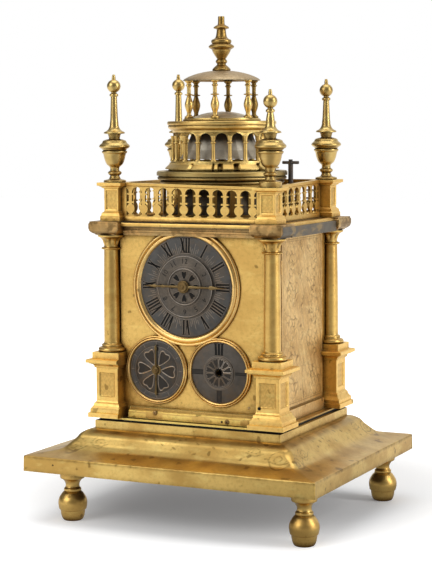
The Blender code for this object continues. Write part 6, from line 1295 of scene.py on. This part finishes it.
def blade(outline, low, rise):
    """A hand's blade along X: half widths give its plan, and a low ridge runs along its middle."""
    x, width = np.asarray(outline, float).T
    y = np.stack([-width, width, width, width * 0, -width], axis=-1)
    z = np.broadcast_to(np.array([low, low, low + rise * 0.45, low + rise, low + rise * 0.45]), y.shape)
    return skin(capped(np.stack([np.repeat(x[:, None], 5, axis=1), y, z], axis=-1)))


def make_hands():
    """Two hands, each a ridged blade on a turned hub, with places along the blade from its arbor."""
    low, high = span("hour_hand")
    x, z = -3.1, (low[2] + high[2]) / 2
    right, left = high[0] - x, low[0] - x
    outline = [(left, 0.2), (left + 4.0, 0.55), (left + 7.4, 1.0), (left + 8.6, 0.55), (left + 11.6, 0.55),
               (left + 12.6, 1.05), (left + 14.4, 0.6), (-4.0, 0.75), (4.0, 0.8), (17.0, 0.5), (18.0, 0.5),
               (18.8, 1.35), (20.4, 1.0), (24.5, 0.5), (right, 0.2)]
    hub = curved([(0, 0.0), (0, 0.0), (4.0, 0.0), (4.0, 0.0), (4.0, 0.8), (3.7, 1.15), (3.3, 1.2), (3.3, 1.2),
                  (3.2, 1.75), (2.7, 2.1), (2.3, 2.1), (2.3, 2.1), (1.9, 2.0), (1.9, 2.0), (1.3, 2.1),
                  (1.1, 2.45), (0.6, 2.6), (0, 2.6), (0, 2.6)], 4)
    part = facing_front(gathered([blade(outline, 0.5, 0.7), turned(hub, 48)]), (x, high[1], z))
    piece("hour_hand_blade", part, "hand_brass", "hour_hand", ["hour_hand"])
    low, high = span("left_hand")
    x, z = (low[0] + high[0]) / 2, 96.398
    top, bottom = high[2] - z, low[2] - z
    outline = [(bottom, 0.2), (bottom + 1.5, 0.9), (bottom + 3.4, 0.5), (-2.0, 0.62), (2.0, 0.62),
               (top - 4.0, 0.42), (top - 2.4, 1.0), (top, 0.2)]
    needle = placed(blade(outline, 1.9, 0.55), turn=math.pi / 2)
    hub = curved([(0, -3.8), (0, -3.8), (1.1, -3.8), (1.1, -3.8), (1.1, 1.3), (1.1, 1.3), (2.2, 1.3),
                  (2.2, 1.3), (2.2, 2.3), (1.9, 2.8), (1.2, 3.0), (1.2, 3.0), (1.0, 3.5), (0, 3.7), (0, 3.7)], 4)
    part = facing_front(gathered([needle, turned(hub, 40)]), (x, high[1] - 3.8, z))
    piece("left_hand_blade", clipped(part, low, high), "hand_brass", "left_hand", ["left_hand"])


def scroll(across, up, reach, hand, phase, lobes):
    """One leafy scroll: a spiral stem with curling lobes between its turns, within a round reach."""
    radius, angle = np.hypot(across, up), np.arctan2(up, across) * hand + phase
    spacing = reach / 2.6
    turns = (radius / spacing - angle / FULL_TURN) % 1.0
    stem = ridge(turns - 0.5, 0.07)
    leaf = np.sin(lobes * angle + 5.5 * radius / reach) * (0.65 + 0.35 * np.sin(turns * FULL_TURN))
    line = ridge(leaf - 0.35, 0.20) + 0.8 * ridge(leaf - 0.93, 0.06)
    inside = np.clip((reach - radius) / (0.12 * reach), 0, 1)
    return inside * np.clip(stem + 0.85 * line, 0, 1), inside


def foliage(across, up, width, height):
    """Leafy scrolls from a wavy middle stem, small rosettes in the gaps, shaded ground between them."""
    gap = np.minimum(width / 2 - np.abs(across), height / 2 - np.abs(up - height / 2))
    fade = 0.62 + 0.38 * np.sin(across * 0.34 + up * 0.11 + 0.6) * np.sin(up * 0.23 - across * 0.15)
    across = across + 1.5 * np.sin(up * 0.31 + 0.5) + 0.35 * np.sin(up * 1.35 + across * 0.6)
    up = up + 1.7 * np.sin(across * 0.36 + 1.0) + 0.35 * np.sin(across * 1.5)
    rows = 5
    pitch = height / rows
    lines, cover = np.zeros(across.shape), np.zeros(across.shape)
    for row in range(-1, rows + 1):
        for side in (-1, 1):
            z = (row + 0.5 + 0.22 * side) * pitch
            made, inside = scroll(across - side * width * 0.26, up - z, 0.52 * pitch, side, 1.7 * row, 7)
            lines, cover = np.maximum(lines * (1 - inside), made), np.maximum(cover, inside)
            spot = z + 0.5 * pitch
            for place in (0.04, 0.45):
                made, inside = scroll(across - side * width * place, up - spot, 0.17 * pitch, -side, row, 6)
                free = inside * (1 - cover)
                lines, cover = np.maximum(lines, made * free), np.maximum(cover, free)
    ground = (0.5 + 0.5 * np.sin((across + 0.55 * up) * FULL_TURN / 1.25)) * (1 - cover)
    stem = ridge(across - 2.4 * np.sin(up * FULL_TURN / pitch), 0.55)
    border = 0.7 * ridge(gap - 1.8, 0.30) + 0.5 * ridge(gap - 3.0, 0.30)
    inner = np.clip((gap - 3.0) / 0.4, 0, 1)
    return np.clip((np.maximum(lines, stem * 0.8) + 0.45 * ground) * inner * fade + border, 0, 1)


def make_doors():
    """Engraved panels on the two side doors: a plane lowered by the foliage, with shallow dents."""
    depth = bpy.context.scene.clock_sizes.relief / MM
    face_x, back_x = 54.86, 54.2
    columns, rows = 210, 330
    for side, turn in (("right", 0.0), ("left", math.pi)):
        node = f"door_{side}"
        low, high = span(node)
        start, stop, bottom, top = low[1] + 3.6, high[1] - 0.6, 73.4, high[2] - 0.3
        width, height = stop - start, top - bottom
        across, up = np.meshgrid(np.linspace(-width / 2, width / 2, columns), np.linspace(0, height, rows))
        cut = foliage(across, up, width, height)
        dents = 0.09 * np.sin(across * 0.35 + 1.0) * np.sin(up * 0.21) + 0.05 * np.sin(across * 1.1 + up * 0.5)
        back = np.full((rows, 2), back_x)
        x = np.concatenate([face_x - depth * cut + dents, back], axis=1)
        y = np.concatenate([across, across[:, -1:], across[:, :1]], axis=1)
        z = np.concatenate([up, up[:, -1:], up[:, :1]], axis=1) + bottom
        marks = np.pad(cut, ((1, 1), (0, 2)))
        part = placed(skin(capped(np.stack([x, y, z], axis=-1)), etch_and_shade=marks), (0, (start + stop) / 2, 0), turn)
        piece(f"{node}_engraving", part, "gilt_side", node)


RIVETS = (
    # x, z, radius, plane y of the face, dark or not
    (-24.1, 69.4, 1.5, -49.6, False),
    (-24.1, 69.4, 0.7, -49.9, True),
    (22.8, 67.0, 0.8, -49.5, True),
    (26.4, 67.2, 1.6, -49.6, False),
    (26.4, 67.2, 0.8, -49.9, True),
    (41.2, 76.9, 0.9, -49.5, False),
    (-78.0, 38.0, 0.55, -85.3, True),
    (50.4, 78.0, 0.95, -54.7, True),
)


def make_fittings():
    """Rivet heads, the floor plate's edge with a dark band painted as the shadow in the gap under it, and the
    front plate's skirt with its lines.
    """
    dark, bright = [], []
    head = curved([(0, -0.3), (0, -0.3), (1, -0.3), (1, -0.3), (1, 0.08), (0.86, 0.22), (0.5, 0.32), (0, 0.36),
                   (0, 0.36)], 3)
    for x, z, radius, plane, is_dark in RIVETS:
        part = facing_front(turned(head * [radius, radius], 20), (x, plane, z))
        (dark if is_dark else bright).append(part)
    piece("dark_rivets", gathered(dark), "dial_lines")
    piece("bright_rivets", gathered(bright), "gilt_worn")
    front = span("front_plate")[0][1]
    section = curved([(0.8, 65.3), (0.8, 65.3), (0.0, 65.3), (0.0, 65.3), (0.0, 68.4), (0.0, 68.4),
                      (0.35, 68.7), (0.35, 69.5), (0.35, 69.5), (0.9, 70.2), (1.9, 70.7), (2.5, 71.6),
                      (2.7, 72.3), (2.7, 72.3), (3.8, 72.3), (3.8, 72.3)], 4)
    edge = beam([(0.25, 64.05), (0, 64.05), (0, 65.15), (0.25, 65.15)][::-1], -46.0, 46.0, 4)
    piece("floor_edge", doubled(edge, 53.15), "gilt_skirt")
    # A dark band painted as the shadow in the gap under the skirt and pedestals.
    shade = [(-0.1, 64.05), (0.15, 64.05), (0.15, 62.92), (-0.1, 62.92)]
    gap = framed(shade, 62.0, 53.0, 0.5, 4, 2, ring=True)
    piece("floor_gap_shadow", gap, "dial_lines")
    line = beam([(0.3, 72.2), (-0.07, 72.2), (-0.07, 72.75), (0.3, 72.75)][::-1], -43.2, 43.2, 2)
    groove = beam([(0.5, 68.75), (0.2, 68.75), (0.2, 69.15), (0.5, 69.15)][::-1], -43.2, 43.2, 2)
    lines = placed(gathered([line, groove]), (0, front, 0))
    piece("skirt_lines", lines, "gilt_shade")
    for name, start, stop, steps in (("skirt_long", -43.2, 37.8, 40), ("skirt_short", 38.1, 43.2, 4)):
        points, triangles, etch_and_shade = placed(beam(section[::-1], start, stop, steps), (0, front - 0.05, 0))
        wave = 0.12 * np.sin(points[:, :1] * 0.19) * [[0, 1, 0]]
        piece(name, (points + wave, triangles, etch_and_shade), "gilt_skirt")


def dress_frame():
    """Gives each CAD piece that stays its finish."""
    finishes = {
        "gilt_plate": ["front_plate", "back_plate"],
        "gilt_side": ["door_left", "door_right"],
        "gilt_worn": ["roof_plate"],
        "bell_metal": ["alarm_bell"],
        "bell_dark": ["hour_bell"],
        "iron": ["locking_bolt", "hour_hammer", "strike_fly"],
        "wheel_brass": ["movement_frame", "barrel", "fusee", "second_wheel", "third_wheel", "crown_wheel",
                        "hour_wheel", "strike_barrel"],
        "steel": ["balance"],
    }
    for name, nodes in finishes.items():
        for node in nodes:
            dressed(node, name)


LAMP_TARGET = (0, 0, 0.14)
FLOOR_SHEEN = 1.02
SKY_LEVEL = 0.46
SKY_LOBES = (
    # direction, dot product where it starts and where it is whole, strength added
    ((0.43, -0.90, 0.12), 0.62, 0.93, -0.26),
    ((-0.10, 0.90, 0.42), 0.60, 0.95, 0.40),
    ((-1.0, 0.10, 0.15), 0.55, 0.95, -0.30),
)


def floor_paint(colour):
    """Pale floor. The camera sees it lifted towards white far out. Metal mirrors instead a glow of it, a painted
    reflection that lights the metal, brighter far out and dimmer on the camera's side.
    """
    paint = Finish(bpy.data.materials.new("floor_paint"))
    path = paint.node("ShaderNodeLightPath")
    reach = paint.vector("LENGTH", paint.vector("SUBTRACT", paint.place, (-0.01, 0.075, 0)))
    cloud = paint.noise(3.0, 2.0)
    tone = paint.tint(cloud * 0.2, (*colour, 1.0), scaled(colour, 0.97))
    chalk = paint.node("ShaderNodeBsdfDiffuse", None, {"Color": tone}).outputs[0]
    lift = {"Color": WHITE, "Strength": reach.between(0.10, 0.25) * 0.62 + 0.14}
    glow = paint.node("ShaderNodeEmission", None, lift).outputs[0]
    both = paint.node("ShaderNodeAddShader", None, {0: chalk, 1: glow}).outputs[0]
    seen = paint.mixed(path.outputs["Is Camera Ray"], chalk, both)
    # Glow seen only in reflections: painted reflection that lights the metal, dimmer on the camera's side.
    way = paint.vector("NORMALIZE", paint.place)
    shade = paint.vector("DOT_PRODUCT", way, (0.43, -0.90, 0)).between(0.62, 0.95)
    strength = (reach.between(0.06, 0.34) * FLOOR_SHEEN + 0.20) * (1.0 - shade * 0.50)
    sheen = paint.node("ShaderNodeEmission", None, {"Color": WHITE, "Strength": strength}).outputs[0]
    last = paint.mixed(path.outputs["Is Glossy Ray"], seen, sheen)
    paint.node("ShaderNodeOutputMaterial", None, {"Surface": last})
    return paint.owner


def make_sky():
    """World: white to the camera, and to the rest an even grey with a few broad lighter and darker patches."""
    world = bpy.data.worlds.new("studio")
    bpy.context.scene.world = world
    sky = Finish(world)
    way = sky.node("ShaderNodeTexCoord").outputs["Generated"]
    level = SKY_LEVEL
    for aim, low, high, share in SKY_LOBES:
        level = level + sky.vector("DOT_PRODUCT", way, Vector(aim).normalized()).between(low, high) * share
    grey = sky.node("ShaderNodeBackground", None, {"Color": WHITE, "Strength": level}).outputs[0]
    white = sky.node("ShaderNodeBackground", None, {"Color": WHITE, "Strength": 1.0}).outputs[0]
    seen = sky.mixed(sky.node("ShaderNodeLightPath").outputs["Is Camera Ray"], grey, white)
    sky.node("ShaderNodeOutputWorld", None, {"Surface": seen})


def aimed(place, target):
    """The matrix of a camera or lamp at a place that looks at a target."""
    look = (Vector(target) - Vector(place)).to_track_quat("-Z", "Y").to_matrix().to_4x4()
    return Matrix.Translation(place) @ look


def make_stage():
    """Camera, floor, world and lamps."""
    scene = bpy.context.scene
    colours = scene.clock_colours
    scene.view_settings.view_transform = "Standard"
    camera = bpy.data.objects.new("camera", bpy.data.cameras.new("camera"))
    scene.collection.objects.link(camera)
    camera.data.sensor_fit = "VERTICAL"
    camera.data.sensor_height = CAMERA_SENSOR
    camera.data.lens = CAMERA_LENS
    camera.data.clip_start = 0.01
    camera.matrix_world = aimed(CAMERA_PLACE, CAMERA_TARGET) @ Matrix.Rotation(CAMERA_ROLL, 4, "Z")
    scene.camera = camera

    mesh = bpy.data.meshes.new("floor")
    size = 4.0
    corners = [(-size, -size, 0), (size, -size, 0), (size, size, 0), (-size, size, 0)]
    mesh.from_pydata(corners, [], [(0, 1, 2, 3)])
    floor = bpy.data.objects.new("floor", mesh)
    scene.collection.objects.link(floor)
    mesh.materials.append(floor_paint(tuple(colours.floor)))
    make_sky()
    for name, place, size, power in (
        ("key_softbox", (-0.75, -1.35, 0.95), (1.1, 1.1), 8.5),
        ("right_softbox", (1.45, 0.10, 0.75), (0.5, 1.2), 9.5),
        ("top_softbox", (0.0, 0.1, 1.7), (1.3, 1.3), 11.0),
    ):
        lamp = bpy.data.lights.new(name, "AREA")
        lamp.shape = "RECTANGLE"
        lamp.size, lamp.size_y = size
        lamp.energy = power
        rig = bpy.data.objects.new(name, lamp)
        scene.collection.objects.link(rig)
        rig.matrix_world = aimed(place, LAMP_TARGET)


class CLOCK_OT_stage(bpy.types.Operator):
    """Makes the camera, the floor, the world and the lamps"""

    bl_idname = "clock.stage"
    bl_label = "Stage"

    def execute(self, context):
        make_stage()
        return {"FINISHED"}


class CLOCK_OT_frame(bpy.types.Operator):
    """Gives every CAD piece that stays its finish"""

    bl_idname = "clock.frame"
    bl_label = "Frame finishes"

    def execute(self, context):
        dress_frame()
        return {"FINISHED"}


class CLOCK_OT_feet(bpy.types.Operator):
    """Turns the four feet"""

    bl_idname = "clock.feet"
    bl_label = "Feet"

    def execute(self, context):
        make_feet()
        return {"FINISHED"}


class CLOCK_OT_base(bpy.types.Operator):
    """Makes the moulded base sheet and finishes its board"""

    bl_idname = "clock.base"
    bl_label = "Base"

    def execute(self, context):
        make_base()
        return {"FINISHED"}


class CLOCK_OT_columns(bpy.types.Operator):
    """Makes the pedestals and turns the columns"""

    bl_idname = "clock.columns"
    bl_label = "Pedestals and columns"

    def execute(self, context):
        make_pedestals()
        make_columns()
        return {"FINISHED"}


class CLOCK_OT_attic(bpy.types.Operator):
    """Makes the attic posts, the balustrades and the corner finials"""

    bl_idname = "clock.attic"
    bl_label = "Attic"

    def execute(self, context):
        make_attic_posts()
        make_balustrades()
        make_finials()
        return {"FINISHED"}


class CLOCK_OT_tower(bpy.types.Operator):
    """Makes the two drums, the dome, the lantern and the top finial"""

    bl_idname = "clock.tower"
    bl_label = "Tower"

    def execute(self, context):
        make_lower_drum()
        make_upper_drum()
        make_lantern()
        return {"FINISHED"}


class CLOCK_OT_entablature(bpy.types.Operator):
    """Makes the corner blocks and the bars of the entablature"""

    bl_idname = "clock.entablature"
    bl_label = "Entablature"

    def execute(self, context):
        make_entablature()
        return {"FINISHED"}


class CLOCK_OT_dials(bpy.types.Operator):
    """Makes the dials with their numerals and rosettes"""

    bl_idname = "clock.dials"
    bl_label = "Dials"

    def execute(self, context):
        make_hour_ring()
        make_alarm_disc()
        make_left_dial()
        make_right_dial()
        return {"FINISHED"}


class CLOCK_OT_hands(bpy.types.Operator):
    """Makes the hour hand and the left dial's hand"""

    bl_idname = "clock.hands"
    bl_label = "Hands"

    def execute(self, context):
        make_hands()
        return {"FINISHED"}


class CLOCK_OT_doors(bpy.types.Operator):
    """Engraves the side doors with foliage"""

    bl_idname = "clock.doors"
    bl_label = "Door engraving"

    def execute(self, context):
        make_doors()
        return {"FINISHED"}


class CLOCK_OT_fittings(bpy.types.Operator):
    """Makes the rivets and the skirt strip of the front"""

    bl_idname = "clock.fittings"
    bl_label = "Rivets and skirt"

    def execute(self, context):
        make_fittings()
        return {"FINISHED"}


class CLOCK_OT_bezels(bpy.types.Operator):
    """Turns the three dial bezels"""

    bl_idname = "clock.bezels"
    bl_label = "Bezels"

    def execute(self, context):
        make_bezels()
        return {"FINISHED"}


OPERATORS = (
    CLOCK_OT_stage,
    CLOCK_OT_frame,
    CLOCK_OT_feet,
    CLOCK_OT_base,
    CLOCK_OT_columns,
    CLOCK_OT_attic,
    CLOCK_OT_tower,
    CLOCK_OT_bezels,
    CLOCK_OT_entablature,
    CLOCK_OT_dials,
    CLOCK_OT_hands,
    CLOCK_OT_doors,
    CLOCK_OT_fittings,
)


class CLOCK_PT_panel(bpy.types.Panel):
    """Lists the clock's pieces, sizes and colours"""

    bl_idname = "CLOCK_PT_panel"
    bl_label = "Tower Table Clock"
    bl_space_type = "VIEW_3D"
    bl_region_type = "UI"
    bl_category = "Clock"

    def draw(self, context):
        for operator in OPERATORS:
            self.layout.operator(operator.bl_idname)
        for group in (context.scene.clock_sizes, context.scene.clock_colours):
            for key in group.__annotations__:
                self.layout.prop(group, key)


CLASSES = (ClockSizes, ClockColours, *OPERATORS, CLOCK_PT_panel)


def register():
    for kind in CLASSES:
        bpy.utils.register_class(kind)
    bpy.types.Scene.clock_sizes = bpy.props.PointerProperty(type=ClockSizes)
    bpy.types.Scene.clock_colours = bpy.props.PointerProperty(type=ClockColours)


def unregister():
    del bpy.types.Scene.clock_colours
    del bpy.types.Scene.clock_sizes
    for kind in reversed(CLASSES):
        bpy.utils.unregister_class(kind)


def main():
    register()
    for operator in OPERATORS:
        getattr(bpy.ops.clock, operator.bl_idname.split(".")[1])()


if __name__ == "__main__":
    main()
